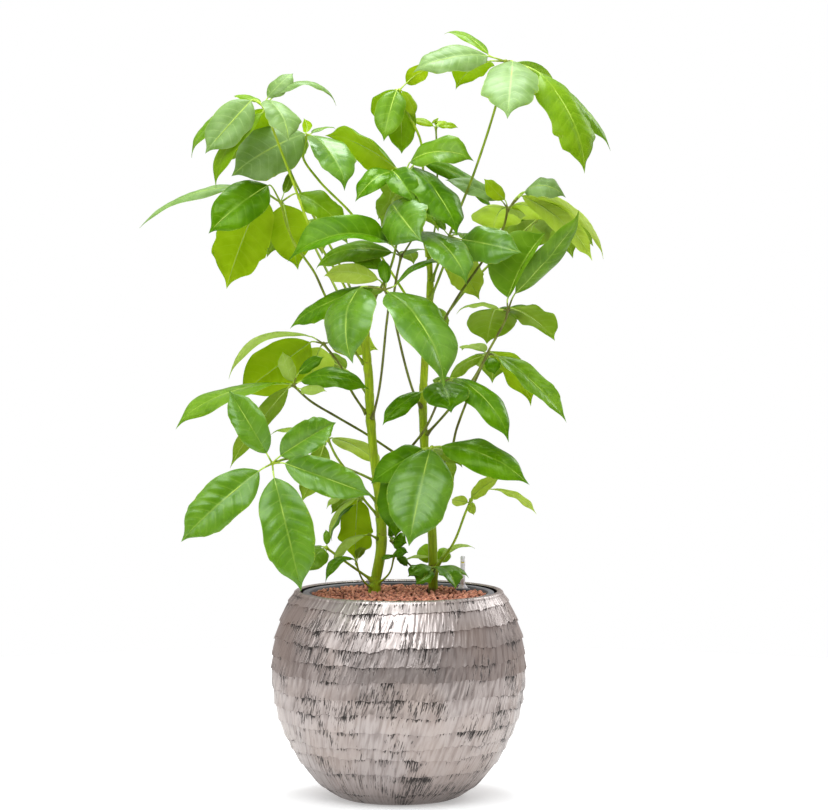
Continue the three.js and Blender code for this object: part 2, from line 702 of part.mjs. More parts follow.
// One compound leaf: the stalk from the stem's axis to the hub, the hub, and every blade, grown together.
// The foot is cut back to the stem's skin.
function leafGeometry(plan) {
  const way = [stemPoint(plan.stem, plan.height), ...plan.stalk.map(place)];
  const curve = new THREE.CatmullRomCurve3(way, false, 'centripetal');
  const steps = Math.max(3, Math.round(curve.getLength() / 60));
  const radii = [];
  for (let i = 0; i <= steps; i += 1) radii.push(i === 0 ? stalkFootRadius : stalkRadius);
  const hub = way[way.length - 1];
  let solid = solidOf(rod(curve, radii, stalkSides));
  const knot = new THREE.OctahedronGeometry(hubRadius);
  knot.translate(hub.x, hub.y, hub.z);
  solid = solid.add(solidOf(knot));
  for (const one of plan.blades) solid = solid.add(solidOf(bladeSolid(hub, one)));
  return geometryOf(solid.subtract(solidOf(stemSolid(plan.stem, gap))));
}

addPiece('planter', planterGeometry(), finish(0xb0a5a0, 0.32, 0.85));
addPiece('insert', insertGeometry(), finish(0x464b55, 0.45));
addPiece('clay_granules', granulesGeometry(), finish(0xa5553c, 0.9));
addPiece('gauge_body', gaugeBodyGeometry(), finish(0x3a3d42, 0.5));
addPiece('gauge_window', gaugeWindowGeometry(), finish(0xd8dadc, 0.15));
addPiece('gauge_float', gaugeFloatGeometry(), finish(0xc23a2a, 0.4));
for (const name of Object.keys(stems)) addPiece(name, stemSolid(name, 0), finish(0x7d9b0a, 0.55));
for (const [name, plan] of Object.entries(leaves)) addPiece(name, leafGeometry(plan), finish(0x60963a, 0.4));

export default group;
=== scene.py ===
import json
import math
import random

import bmesh
import bpy
import numpy as np
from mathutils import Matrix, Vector

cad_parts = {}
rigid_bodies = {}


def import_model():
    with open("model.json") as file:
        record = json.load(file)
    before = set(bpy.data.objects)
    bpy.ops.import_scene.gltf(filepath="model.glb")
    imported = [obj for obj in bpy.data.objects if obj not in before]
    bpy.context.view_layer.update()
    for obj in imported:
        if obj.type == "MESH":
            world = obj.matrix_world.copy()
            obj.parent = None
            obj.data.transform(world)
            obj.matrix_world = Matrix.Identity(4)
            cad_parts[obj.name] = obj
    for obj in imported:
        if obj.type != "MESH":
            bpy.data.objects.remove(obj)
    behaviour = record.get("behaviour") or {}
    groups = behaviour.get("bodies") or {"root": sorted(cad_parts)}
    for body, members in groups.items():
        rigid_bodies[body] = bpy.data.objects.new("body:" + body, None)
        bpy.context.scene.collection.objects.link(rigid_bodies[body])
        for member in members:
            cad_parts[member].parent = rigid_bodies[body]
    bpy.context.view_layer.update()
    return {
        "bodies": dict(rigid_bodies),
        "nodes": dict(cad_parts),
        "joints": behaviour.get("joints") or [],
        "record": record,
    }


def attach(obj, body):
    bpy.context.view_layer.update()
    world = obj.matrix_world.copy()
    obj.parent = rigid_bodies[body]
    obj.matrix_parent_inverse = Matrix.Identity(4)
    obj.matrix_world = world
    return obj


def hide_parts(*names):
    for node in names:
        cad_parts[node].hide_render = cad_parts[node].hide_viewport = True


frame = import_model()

mm = 0.001


# The camera, the floor and the light come first, so that every piece is lit in the same studio.
camera = {
    "place": (0.024, -5.9, 0.965),
    "lookDown": 3.402,  # degrees below level
    "lens": 164.9,
}
cameraData = bpy.data.cameras.new("camera")
cameraData.lens = camera["lens"]
cameraData.clip_end = 80
cameraObject = bpy.data.objects.new("camera", cameraData)
cameraObject.location = camera["place"]
cameraObject.rotation_euler = (math.radians(90 - camera["lookDown"]), 0, 0)
bpy.context.scene.collection.objects.link(cameraObject)
bpy.context.scene.camera = cameraObject

studio = {
    "floorRadius": 1.9,
    "floorColour": (0.68, 0.68, 0.68),
    "floorGlow": 0.36,
    "backdrop": 1.0,
    "sky": 0.7,  # brightness all round, as it lights the object
    "zenith": 1.0,
    "horizon": 0.8,
    "behindCamera": 0.38,  # the dark end of the studio, which the planter mirrors
    "warmth": (1.0, 0.9, 0.86),  # tint of the darker parts
    "lampColour": (0.93, 0.98, 1.0),
    "softboxes": [  # name, place, aim, width, height, watts
        ("keyAbove", (-0.3, -1.75, 2.25), (0.0, 0.0, 0.35), 2.5, 1.5, 56),
        ("leftSide", (-2.6, -1.2, 1.6), (0.0, 0.0, 0.8), 1.6, 1.6, 14),
        ("rightBack", (2.2, 1.8, 2.0), (0.0, 0.0, 0.8), 1.2, 1.6, 24),
        ("overhead", (0.0, 0.6, 3.4), (0.0, 0.0, 0.6), 1.3, 1.8, 90),
    ],
}


def fillSockets(tree, node, inputs):
    # each input takes another node's output or a fixed value
    for key, value in inputs.items():
        socket = node.inputs[key]
        if isinstance(value, bpy.types.NodeSocket):
            tree.links.new(value, socket)
        else:
            socket.default_value = value


def addNode(tree, kind, inputs=None, **settings):
    made = tree.nodes.new(kind)
    for key, value in settings.items():
        setattr(made, key, value)
    fillSockets(tree, made, inputs or {})
    return made


def mathOf(tree, operation, a, b=0.0):
    return addNode(tree, "ShaderNodeMath", {0: a, 1: b}, operation=operation).outputs[0]


def times(tree, a, b):
    return mathOf(tree, "MULTIPLY", a, b)


def plus(tree, a, b):
    return mathOf(tree, "ADD", a, b)


def awayFrom(tree, a, b):
    return mathOf(tree, "ABSOLUTE", mathOf(tree, "SUBTRACT", a, b))


def vectorOf(tree, operation, *values):
    return addNode(tree, "ShaderNodeVectorMath", dict(enumerate(values)), operation=operation).outputs[0]


def partsOf(tree, vector):
    return addNode(tree, "ShaderNodeSeparateXYZ", {0: vector}).outputs


def rangeOf(tree, value, low, high, outLow=0.0, outHigh=1.0):
    inputs = {"Value": value, "From Min": low, "From Max": high, "To Min": outLow, "To Max": outHigh}
    return addNode(tree, "ShaderNodeMapRange", inputs, interpolation_type="SMOOTHSTEP").outputs["Result"]


def mixColour(tree, share, a, b):
    inputs = {0: share}
    for index, value in ((6, a), (7, b)):
        inputs[index] = value if isinstance(value, bpy.types.NodeSocket) else (*value, 1)
    return addNode(tree, "ShaderNodeMix", inputs, data_type="RGBA").outputs[2]


def noiseOf(tree, vector, scale, detail=3.0, roughness=0.55):
    inputs = {"Vector": vector, "Scale": scale, "Detail": detail, "Roughness": roughness}
    return addNode(tree, "ShaderNodeTexNoise", inputs).outputs["Fac"]


def stretched(tree, vector, scale):
    return addNode(tree, "ShaderNodeMapping", {"Vector": vector, "Scale": scale}).outputs[0]


def bumpOf(tree, height, strength, distance):
    inputs = {"Height": height, "Strength": strength, "Distance": distance}
    return addNode(tree, "ShaderNodeBump", inputs).outputs[0]


def attributeOf(tree, name):
    return addNode(tree, "ShaderNodeAttribute", attribute_name=name).outputs["Fac"]


def surfaceMap(tree):
    return addNode(tree, "ShaderNodeUVMap", uv_map="surface").outputs["UV"]


def newMaterial(name):
    made = bpy.data.materials.new(name)
    made.use_nodes = True
    tree = made.node_tree
    place = addNode(tree, "ShaderNodeTexCoord").outputs["Object"]
    return made, tree, tree.nodes["Principled BSDF"], place


def buildFloor():
    disc = bmesh.new()
    bmesh.ops.create_circle(disc, cap_ends=True, segments=96, radius=studio["floorRadius"])
    mesh = bpy.data.meshes.new("floor")
    disc.to_mesh(mesh)
    disc.free()
    floor = bpy.data.objects.new("floor", mesh)
    bpy.context.scene.collection.objects.link(floor)
    made, tree, shader, place = newMaterial("paleFloor")
    grey = studio["floorColour"]
    darker = tuple(c * 0.985 for c in grey)
    fillSockets(tree, shader, {
        "Base Color": mixColour(tree, noiseOf(tree, place, 3.0, 2.0), grey, darker),
        "Roughness": 0.6,
        "Specular IOR Level": 0.25,
        "Emission Color": (1, 1, 1, 1),
        "Emission Strength": studio["floorGlow"],
    })
    mesh.materials.append(made)


def hangLamps():
    for name, place, aim, width, height, watts in studio["softboxes"]:
        lamp = bpy.data.lights.new(name, "AREA")
        lamp.shape = "RECTANGLE"
        lamp.size = width
        lamp.size_y = height
        lamp.energy = watts
        lamp.color = studio["lampColour"]
        lampObject = bpy.data.objects.new(name, lamp)
        lampObject.location = place
        way = Vector(aim) - Vector(place)
        lampObject.rotation_euler = way.to_track_quat("-Z", "Y").to_euler()
        bpy.context.scene.collection.objects.link(lampObject)


def buildSky():
    # the camera sees plain white, and the object is lit by a dome with a dark end behind the camera
    white = (1.0, 1.0, 1.0)
    world = bpy.data.worlds.new("studio")
    world.use_nodes = True
    tree = world.node_tree
    parts = partsOf(tree, addNode(tree, "ShaderNodeTexCoord").outputs["Generated"])
    front = rangeOf(tree, parts["Y"], -0.4, -0.8)
    level = rangeOf(tree, awayFrom(tree, parts["Z"], 0.1), 0.55, 0.24)
    dark = times(tree, front, level)
    lighting = rangeOf(tree, parts["Z"], 0.3, 0.8, studio["sky"], studio["zenith"])
    lighting = times(tree, lighting, rangeOf(tree, dark, 0.0, 1.0, 1.0, studio["behindCamera"]))
    lighting = times(tree, lighting, rangeOf(tree, level, 0.0, 1.0, 1.0, studio["horizon"]))
    seen = addNode(tree, "ShaderNodeLightPath").outputs["Is Camera Ray"]
    tint = mixColour(tree, level, white, studio["warmth"])
    fillSockets(tree, tree.nodes["Background"], {
        "Color": mixColour(tree, seen, tint, white),
        "Strength": addNode(tree, "ShaderNodeMix", {0: seen, 2: lighting, 3: studio["backdrop"]}).outputs[0],
    })
    bpy.context.scene.world = world
    bpy.context.scene.view_settings.view_transform = "Standard"


buildFloor()
hangLamps()
buildSky()
print("studio done")


# A skin gathers rings and patches, in millimetres, and then becomes one object.
def newSkin():
    return {"points": [], "faces": [], "slots": [], "maps": [], "count": 0}


def addTube(skin, rings, slots, alongMap, aroundMap=None):
    # rings is (rows, sides, 3). slots is one material number for all, one for each side, or a column with
    # one for each step between two rows.
    rings = np.asarray(rings, dtype=float)
    rows, sides = rings.shape[:2]
    index = np.arange(rows * sides).reshape(rows, sides) + skin["count"]
    ahead = np.roll(index, -1, axis=1)
    quads = np.stack([index[:-1], ahead[:-1], ahead[1:], index[1:]], axis=-1).reshape(-1, 4)
    around = np.arange(sides + 1) / sides if aroundMap is None else np.asarray(aroundMap)
    along = np.asarray(alongMap, dtype=float)
    if along.ndim == 1:
        along = np.repeat(along[:, None], sides + 1, axis=1)
    corner = np.stack([along, np.broadcast_to(around, along.shape)], axis=-1)
    low, high = corner[:-1], corner[1:]
    maps = np.stack([low[:, :-1], low[:, 1:], high[:, 1:], high[:, :-1]], axis=2).reshape(-1, 2)
    ends = [index[0][::-1].tolist(), index[-1].tolist()]
    slots = np.broadcast_to(np.asarray(slots), (rows - 1, sides))
    skin["points"].append(rings.reshape(-1, 3))
    skin["faces"] += [quads.tolist(), ends]
    skin["maps"] += [maps, corner[0, :-1][::-1], corner[-1, :-1]]
    skin["slots"] += [slots.ravel(), slots[[0, -1], 0]]
    skin["count"] += rows * sides


def makeObject(name, skin, materials, sharp=50):
    mesh = bpy.data.meshes.new(name)
    faces = [face for part in skin["faces"] for face in part]
    mesh.from_pydata((np.concatenate(skin["points"]) * mm).tolist(), [], faces)
    maps = np.concatenate(skin["maps"]).astype(np.float32).ravel()
    mesh.uv_layers.new(name="surface").data.foreach_set("uv", maps)
    mesh.polygons.foreach_set("material_index", np.concatenate(skin["slots"]).astype(np.int32))
    mesh.polygons.foreach_set("use_smooth", np.ones(len(mesh.polygons), dtype=bool))
    mesh.set_sharp_from_angle(angle=math.radians(sharp))
    for material in materials:
        mesh.materials.append(material)
    made = bpy.data.objects.new(name, mesh)
    bpy.context.scene.collection.objects.link(made)
    return made


def storeOnPoints(made, name, values):
    stored = made.data.attributes.new(name, "FLOAT", "POINT")
    stored.data.foreach_set("value", np.array(values, dtype=np.float32).ravel())


def finishPiece(piece, slotName, *nodes):
    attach(piece, "root")
    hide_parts(*nodes)


def smoothCurve(points, count):
    # a centripetal curve through the points, as count points evenly spaced along it
    points = [np.asarray(p, dtype=float) for p in points]
    if len(points) == 2:
        points = [points[0], (points[0] + points[1]) / 2, points[1]]
    ends = [2 * points[0] - points[1], *points, 2 * points[-1] - points[-2]]
    dense = []
    for a, b, c, d in zip(ends, ends[1:], ends[2:], ends[3:]):
        t1 = math.sqrt(np.linalg.norm(b - a))
        t2 = t1 + math.sqrt(np.linalg.norm(c - b))
        t3 = t2 + math.sqrt(np.linalg.norm(d - c))
        for t in np.linspace(t1, t2, 24, endpoint=False):
            ab = a + (b - a) * t / t1
            bc = b + (c - b) * (t - t1) / (t2 - t1)
            cd = c + (d - c) * (t - t2) / (t3 - t2)
            abc = ab + (bc - ab) * t / t2
            bcd = bc + (cd - bc) * (t - t1) / (t3 - t1)
            dense.append(abc + (bcd - abc) * (t - t1) / (t2 - t1))
    dense.append(points[-1])
    return evenly(np.array(dense), count)


def reachedAlong(line):
    # the way covered from the line's start to each of its points
    return np.concatenate([[0], np.cumsum(np.linalg.norm(np.diff(line, axis=0), axis=1))])


def evenly(line, count):
    reached = reachedAlong(line)
    wanted = np.linspace(0, reached[-1], count)
    return np.stack([np.interp(wanted, reached, line[:, k]) for k in range(3)], axis=1)


def unit(vector):
    return vector / max(np.linalg.norm(vector), 1e-12)


def clamp(values):
    return np.clip(values, 0, 1)


def turnsOf(count):
    return np.linspace(0, 2 * math.pi, count, endpoint=False)


def circleOf(turn):
    return np.stack([np.cos(turn), np.sin(turn)], axis=1)


def rodRings(line, radii, sides):
    # rings round a line. radii is one number a row, or one for each point of each ring.
    line = np.asarray(line, dtype=float)
    radii = np.asarray(radii, dtype=float)
    if radii.ndim == 1:
        radii = np.repeat(radii[:, None], sides, axis=1)
    circle = circleOf(turnsOf(sides))
    tangents = np.gradient(line, axis=0)
    normal = unit(np.cross(tangents[0], (0.3, 1.0, 0.2)))
    rings = []
    for centre, tangent, size in zip(line, tangents, radii):
        tangent = unit(tangent)
        normal = unit(normal - tangent * np.dot(normal, tangent))
        spoke = np.outer(circle[:, 0], normal) + np.outer(circle[:, 1], np.cross(tangent, normal))
        rings.append(centre + spoke * size[:, None])
    return np.array(rings)


def turnedRings(profile, sides, centre=(0, 0), wobble=0.0):
    circle = circleOf(turnsOf(sides))
    rings = []
    for r, z in profile:
        height = np.full((sides, 1), z)
        ripple = wobble * (grain(np.hstack([circle * 3, height / 30])) - 0.5)
        rings.append(np.hstack([centre + circle * (r + ripple)[:, None], height]))
    return np.array(rings)


def grain(points, seed=0):
    # smooth value noise from 0 to 1 at points in cells of size 1
    points = np.asarray(points, dtype=float)
    cell = np.floor(points).astype(np.int64)
    part = points - cell
    part = part * part * (3 - 2 * part)
    total = 0.0
    for corner in range(8):
        step = np.array([corner & 1, corner >> 1 & 1, corner >> 2 & 1])
        key = (cell + step) @ np.array([73856093, 19349663, 83492791]) + seed * 2654435
        key = (key ^ key >> 13) * 1274126177 & 0x7FFFFFFF
        key = (key ^ key >> 15) * 668265263 & 0x7FFFFFFF
        weight = np.prod(np.where(step, part, 1 - part), axis=-1)
        total = total + weight * ((key ^ key >> 11) & 0xFFFF) / 65535
    return total


# The plan of the plant is drawn in millimetres, in a straight front view on the planter's axis.
drawing = {"eyeAcross": 24, "eyeDistance": 5900, "eyeHeight": 965}


def placed(point):
    # a point in front of the axis is drawn as large as the eye sees it
    across, depth, rise = point
    nearer = (drawing["eyeDistance"] + depth) / drawing["eyeDistance"]
    x = drawing["eyeAcross"] + (across - drawing["eyeAcross"]) * nearer
    z = drawing["eyeHeight"] + (rise - drawing["eyeHeight"]) * nearer
    return np.array([x, depth, z])


# directions that the upper side of a blade faces
up = (0, -0.15, 1)
front = (0, -1, 0.3)
frontUp = (0, -0.7, 0.7)
frontLeft = (-0.5, -0.75, 0.45)
frontRight = (0.5, -0.75, 0.45)
left = (-0.8, -0.25, 0.5)
right = (0.8, -0.25, 0.5)
back = (0, 1, 0.35)
backUp = (0, 0.55, 0.8)
backLeft = (-0.5, 0.7, 0.5)
backRight = (0.5, 0.7, 0.5)


def leaf(stem, height, skin, stalk, *blades):
    # the stem it grows on and the height there, the stalk's skin and its way to the hub, and the blades
    return {"stem": stem, "height": height, "skin": skin, "stalk": stalk, "blades": blades}


def blade(base, tip, wide, face, arch=8, tone="mid", **shape):
    # tone names the materials of the two sides. shape can set fold, droop, wave, roll, twist, hook, tooth,
    # teeth and quilt.
    return {"base": base, "tip": tip, "wide": wide, "face": face, "arch": arch, "tone": tone, **shape}


stems = {
    "stem_left": {
        "path": [(-38, 44, 200), (-38, 44, 322), (-27, 42, 395), (-29, 40, 458), (-38, 36, 528),
                 (-44, 32, 598), (-46, 28, 652), (-51, 22, 726), (-42, 16, 776)],
        "radii": [6.5, 8, 8.4, 7.6, 6.8, 6.8, 6.8, 6.2, 3.4],
        "brownFoot": 0.35,
    },
    "stem_right": {
        "path": [(54, 62, 200), (54, 62, 330), (52, 60, 419), (44, 55, 497), (40, 51, 551),
                 (38, 47, 621), (40, 43, 668), (44, 39, 730), (49, 34, 802), (47, 30, 856)],
        "radii": [6.5, 7.2, 7, 6.6, 6.6, 6.2, 6, 6, 5, 3.2],
        "brownFoot": 1.0,
    },
}

leaves = {
    "leaf_top_right": leaf(
        "stem_right", 800, "green",
        [(63, 18, 838), (97, -8, 924), (119, -22, 980), (153, -36, 1087), (166, -40, 1148)],
        blade((138, -48, 1156), (21, -98, 1135), 64, frontUp, 13, "paintedSheen"),
        blade((139, -32, 1159), (71, 24, 1196), 30, up, 8, "olive"),
        blade((177, -56, 1148), (169, -196, 1061), 90, frontUp, 12, "paintedSheen", tooth=0.13, teeth=4.5, hook=3),
        blade((140, -24, 1148), (88, 54, 1109), 56, backUp, 8, "lit"),
        blade((220, -62, 1128), (292, -122, 975), 84, frontRight, 20, "olive", tooth=0.13, teeth=6.5,
              wave=4),
        blade((208, -24, 1136), (332, 24, 1011), 46, right, 14, "lit"),
        blade((182, -14, 1146), (235, 96, 1083), 62, backUp, 14),
    ),
    "leaf_young_top": leaf(
        "stem_right", 836, "bright",
        [(36, 22, 890), (38, 26, 960), (34, 26, 1026), (10, 16, 1075), (1, 10, 1103)],
        blade((-3, 2, 1103), (-23, -38, 1025), 46, front, 6),
        blade((6, 12, 1102), (26, 14, 1061), 26, frontRight, 4, "young"),
        blade((3, 20, 1100), (5, 44, 1002), 48, front, 5, "olive"),
        blade((12, 18, 1114), (49, 16, 1136), 30, back, 8, "young"),
        blade((-6, 22, 1104), (-36, 92, 1054), 42, backUp, 9, "lit"),
    ),
    "leaf_bud": leaf(
        "stem_right", 850, "green",
        [(58, 48, 900), (60, 52, 992), (58, 44, 1045)],
        blade((54, 44, 1048), (19, 58, 1059), 16, frontUp, 4, "young"),
        blade((62, 42, 1047), (93, 38, 1046), 14, frontUp, 4, "young"),
        blade((58, 40, 1050), (62, 22, 1060), 12, frontUp, 3, "young"),
        blade((60, 50, 1048), (74, 88, 1052), 18, up, 5, "young"),
    ),
    "leaf_upper_centre": leaf(
        "stem_left", 770, "green",
        [(-12, 12, 830), (2, 0, 900), (9, -18, 968)],
        blade((-4, -12, 984), (-111, 52, 1039), 92, backUp, 8, "lit"),
        blade((-9, -26, 977), (-68, -72, 931), 42, frontUp, 16, "grass"),
        blade((-10, -34, 979), (26, -104, 927), 46, front, 8, "deep"),
        blade((19, -20, 993), (119, -58, 997), 62, frontUp, 20),
        blade((24, -36, 984), (94, -128, 881), 76, frontRight, 10, "deep"),
        blade((36, 10, 992), (147, 92, 917), 42, frontUp, 20, "grass"),
        blade((-10, -44, 928), (35, -150, 869), 88, frontLeft, 14, "waxy"),
        blade((4, 4, 972), (-16, 84, 930), 46, backUp, 10),
    ),
    "leaf_upper_left": leaf(
        "stem_right", 728, "bright",
        [(24, 62, 765), (-1, 68, 805), (-24, 66, 841), (-49, 60, 878), (-75, 50, 914), (-124, 26, 964),
         (-149, 8, 1003), (-141, 0, 1033)],
        blade((-146, -10, 1036), (-261, -44, 971), 84, front, 12, "paintedSheen"),
        blade((-134, -10, 1033), (-80, -88, 951), 70, frontRight, 14, "waxy", tooth=0.1, teeth=5),
        blade((-143, 8, 1038), (-147, 34, 1060), 16, back, 3, "fresh"),
        blade((-135, 10, 1037), (-98, 44, 1045), 20, up, 4),
        blade((-148, 8, 1030), (-206, 100, 985), 60, backUp, 10),
    ),
    "leaf_top_left": leaf(
        "stem_left", 722, "bright",
        [(-83, 2, 797), (-119, -24, 858), (-139, -40, 894), (-159, -56, 948), (-184, -72, 1014),
         (-198, -78, 1051), (-209, -80, 1078)],
        blade((-229, -88, 1087), (-301, -128, 1006), 60, front, 8, "paintedSheen"),
        blade((-226, -66, 1088), (-327, -52, 1001), 46, left, 14, "lit"),
        blade((-214, -66, 1084), (-256, -22, 1095), 26, up, 4, "fresh"),
        blade((-212, -90, 1068), (-289, -98, 952), 36, frontLeft, 18, "olive"),
        blade((-206, -60, 1074), (-250, 34, 980), 46, back, 24, "lit"),
        blade((-203, -72, 1092), (-163, -50, 1131), 34, frontUp, 6, "paintedSheen"),
        blade((-193, -70, 1094), (-93, -44, 1082), 36, up, 28, "paintedSheen"),
        blade((-203, -94, 1088), (-169, -152, 1026), 60, frontRight, 10, "paintedSheen", tooth=0.1, teeth=5),
    ),
    "leaf_left_middle": leaf(
        "stem_left", 672, "green",
        [(-71, 24, 702), (-113, 14, 782), (-131, 10, 821), (-149, 6, 847), (-163, 2, 868), (-175, 0, 899),
         (-183, -5, 930)],
        blade((-203, -12, 956), (-296, -66, 883), 68, front, 10, "grass"),
        blade((-212, 6, 940), (-268, 44, 796), 90, back, 8, "lit", tooth=0.09, teeth=5),
        blade((-178, 14, 926), (-156, 74, 827), 66, back, 8, "lit"),
        blade((-156, -10, 943), (-83, -30, 886), 56, frontRight, 12, "olive"),
        blade((-224, 2, 952), (-404, 8, 891), 38, up, 22, "paintedSheen", roll=-0.15, wave=6),
        blade((-178, 4, 944), (-166, 22, 980), 16, back, 3),
    ),
    "leaf_centre_front": leaf(
        "stem_left", 585, "brown",
        [(-30, -2, 640), (-20, -45, 730), (-16, -78, 777), (-21, -90, 794)],
        blade((-60, -100, 797), (-74, -172, 678), 92, frontLeft, 24, "waxy", tooth=0),
        blade((-15, -108, 790), (75, -204, 643), 96, frontRight, 24, "waxy", tooth=0, fold=0.5),
        blade((-19, -92, 804), (-25, -66, 843), 20, frontUp, 4, "deep"),
        blade((-32, -78, 810), (-119, -60, 818), 44, frontUp, 12, "cream"),
        blade((-28, -58, 826), (-90, -4, 858), 40, frontUp),
        blade((-4, -88, 802), (111, -66, 800), 42, up, 36, "grass"),
        blade((-26, -78, 796), (-74, -4, 770), 36, backUp),
        blade((-38, -72, 798), (-173, -34, 736), 46, frontUp, 10, "grass"),
    ),
    "leaf_centre": leaf(
        "stem_right", 606, "brown",
        [(24, 22, 632), (3, -8, 707), (-8, -24, 769), (-4, -40, 808), (4, -52, 846)],
        blade((-14, -66, 866), (-175, -112, 839), 62, frontUp, 36, "grass", fold=0.7, droop=0.2, tooth=0),
        blade((38, -74, 884), (108, -150, 805), 74, frontRight, 14, "waxy"),
        blade((10, -48, 848), (43, -24, 856), 20, up, 3, "paintedSheen"),
        blade((-10, -46, 852), (-133, -16, 828), 44, frontUp, 22),
        blade((6, -42, 852), (24, 18, 834), 28, backUp),
    ),
    "leaf_centre_right": leaf(
        "stem_right", 775, "green",
        [(62, 14, 810), (76, -6, 850), (80, -16, 877)],
        blade((98, -30, 872), (192, -88, 852), 64, front, 12, "waxy"),
        blade((82, 0, 866), (126, 52, 780), 56, back, 6, "cream"),
        blade((88, 0, 880), (132, 92, 852), 52, up, 10, "waxy"),
        blade((72, -14, 886), (52, 6, 916), 20, up, 4),
    ),
    "leaf_right_upper": leaf(
        "stem_right", 690, "brown",
        [(83, 24, 768), (105, 18, 802), (127, 12, 833), (161, 4, 886), (170, 0, 919)],
        blade((168, 12, 922), (146, 122, 884), 84, backUp, 10, "cream"),
        blade((165, -6, 934), (133, -22, 967), 26, front, 4, "young"),
        blade((158, 4, 934), (72, 8, 966), 34, frontUp, 8, "paintedSheen"),
        blade((196, -12, 946), (262, -34, 938), 44, frontUp, 20, "paintedSheen"),
        blade((192, -2, 940), (304, -12, 839), 52, backRight, 16, "cream"),
        blade((200, 14, 946), (321, 34, 842), 48, right, 26, "cream"),
        blade((178, 16, 926), (232, 104, 900), 58, backUp, 10, "cream"),
    ),
    "leaf_right": leaf(
        "stem_right", 563, "brown",
        [(75, 22, 603), (116, -4, 654), (142, -18, 702), (167, -30, 749), (170, -34, 762)],
        blade((170, -42, 782), (228, -34, 884), 76, frontLeft, 10, fold=1.05, droop=0.1, wave=1, tooth=0),
        blade((182, -28, 788), (287, -66, 913), 46, right, 3, "drab", fold=0.3, roll=-0.8, tooth=0),
        blade((177, -30, 766), (244, 30, 716), 66, backRight, 8, "olive", tooth=0),
        blade((150, -24, 764), (137, 58, 712), 78, backUp, 10, "olive", tooth=0),
        blade((156, -38, 764), (88, -20, 760), 38, up, 8, "sage"),
        blade((172, -22, 766), (196, 66, 744), 50, backUp, 10),
    ),
    "leaf_right_behind": leaf(
        "stem_right", 498, "brown",
        [(79, 62, 536), (91, 66, 579), (119, 72, 651), (139, 76, 694)],
        blade((144, 84, 698), (209, 132, 614), 62, backRight, 14, "lit"),
        blade((156, 66, 690), (264, 8, 589), 46, frontRight, 12),
        blade((142, 66, 688), (150, 44, 662), 26, front, 4, "deep"),
        blade((131, 70, 692), (76, 44, 654), 40, backUp, 6, "olive"),
        blade((134, 84, 697), (98, 134, 700), 38, up, 8, "sage"),
        blade((140, 88, 694), (146, 172, 650), 52, backUp, 12),
    ),
    "leaf_right_lower": leaf(
        "stem_left", 464, "brown",
        [(-8, 14, 500), (12, -4, 538), (40, -26, 575), (58, -44, 612), (69, -64, 651)],
        blade((62, -76, 650), (82, -164, 603), 70, frontUp, 10, "deep"),
        blade((86, -70, 656), (175, -134, 557), 56, frontRight, 22, "grass"),
        blade((34, -68, 634), (-27, -98, 584), 32, frontUp, 8, "deep"),
        blade((66, -56, 654), (70, 8, 640), 34, backUp),
    ),
    "leaf_lower_front": leaf(
        "stem_right", 492, "bright",
        [(49, 20, 520), (52, -20, 538), (52, -44, 548)],
        blade((49, -56, 545), (16, -128, 394), 98, front, 8, "waxy", tooth=0.02, fold=0.45, quilt=0.8),
        blade((67, -50, 550), (205, -96, 490), 62, frontUp, 20, "grass", tooth=0),
        blade((38, -46, 545), (-44, -52, 492), 58, frontLeft, 6, "deep"),
        blade((16, -36, 536), (-6, -30, 404), 74, front, 6, "deep"),
        blade((56, -34, 548), (100, 30, 520), 44, backUp),
    ),
    "leaf_left": leaf(
        "stem_left", 592, "brown",
        [(-74, 34, 637), (-91, 36, 676), (-117, 36, 710)],
        blade((-139, 30, 722), (-268, 2, 656), 36, up, 32, "sage"),
        blade((-138, 42, 712), (-250, 84, 629), 82, back, 8, "lit"),
        blade((-122, 46, 704), (-138, 96, 643), 62, back, 6, "cream"),
        blade((-106, 50, 712), (-32, 100, 702), 46, back, 8, "cream"),
    ),
    "leaf_left_long": leaf(
        "stem_right", 506, "brown",
        [(5, 62, 532), (-49, 54, 568), (-95, 34, 595), (-138, 14, 621), (-164, -2, 645)],
        blade((-170, -12, 648), (-352, -54, 582), 54, up, 20, twist=-1.1),
        blade((-172, -2, 642), (-265, 26, 517), 44, backLeft, 8, "olive"),
        blade((-164, 4, 651), (-181, 18, 699), 26, front, 4, "sage"),
        blade((-156, -8, 664), (-116, -12, 690), 24, frontUp, 4, "deep"),
        blade((-152, -12, 652), (-44, -34, 638), 44, frontUp, 20, "grass"),
        blade((-152, -20, 640), (-112, -56, 636), 26, frontUp, 5, "sage"),
    ),
    "leaf_front_left": leaf(
        "stem_left", 494, "green",
        [(-66, -2, 509), (-120, -80, 527), (-175, -152, 530), (-197, -172, 523)],
        blade((-206, -176, 539), (-265, -164, 638), 50, front, 6, "waxy", fold=0.7, quilt=1),
        blade((-184, -170, 535), (-96, -160, 589), 52, front, 8, "waxy", fold=0.75, droop=0.3, quilt=1),
        blade((-177, -178, 523), (-40, -192, 473), 56, front, 8, "waxy", fold=0.7, droop=0.3, quilt=1),
        blade((-194, -182, 500), (-152, -216, 322), 80, front, 10, "waxy", fold=0.6, quilt=1.3),
        blade((-218, -180, 511), (-342, -204, 400), 70, front, 10, "waxy", quilt=1.2),
    ),
    "leaf_left_behind": leaf(
        "stem_left", 458, "green",
        [(-70, 4, 500), (-96, -20, 532), (-110, -30, 560)],
        blade((-102, -12, 563), (-26, 106, 519), 40, backUp, 8, "cream"),
        blade((-118, -28, 566), (-201, 24, 571), 36, up, 8, "sage"),
        blade((-114, -42, 556), (-152, -92, 540), 30, up, 6),
        blade((-116, -30, 552), (-152, 14, 462), 40, back, 6, "olive"),
    ),
    "leaf_low_hanging": leaf(
        "stem_left", 436, "green",
        [(-42, 26, 452), (-57, 14, 470)],
        blade((-64, 18, 466), (-67, 38, 369), 58, back, 6, "lit", tooth=0.2, teeth=4),
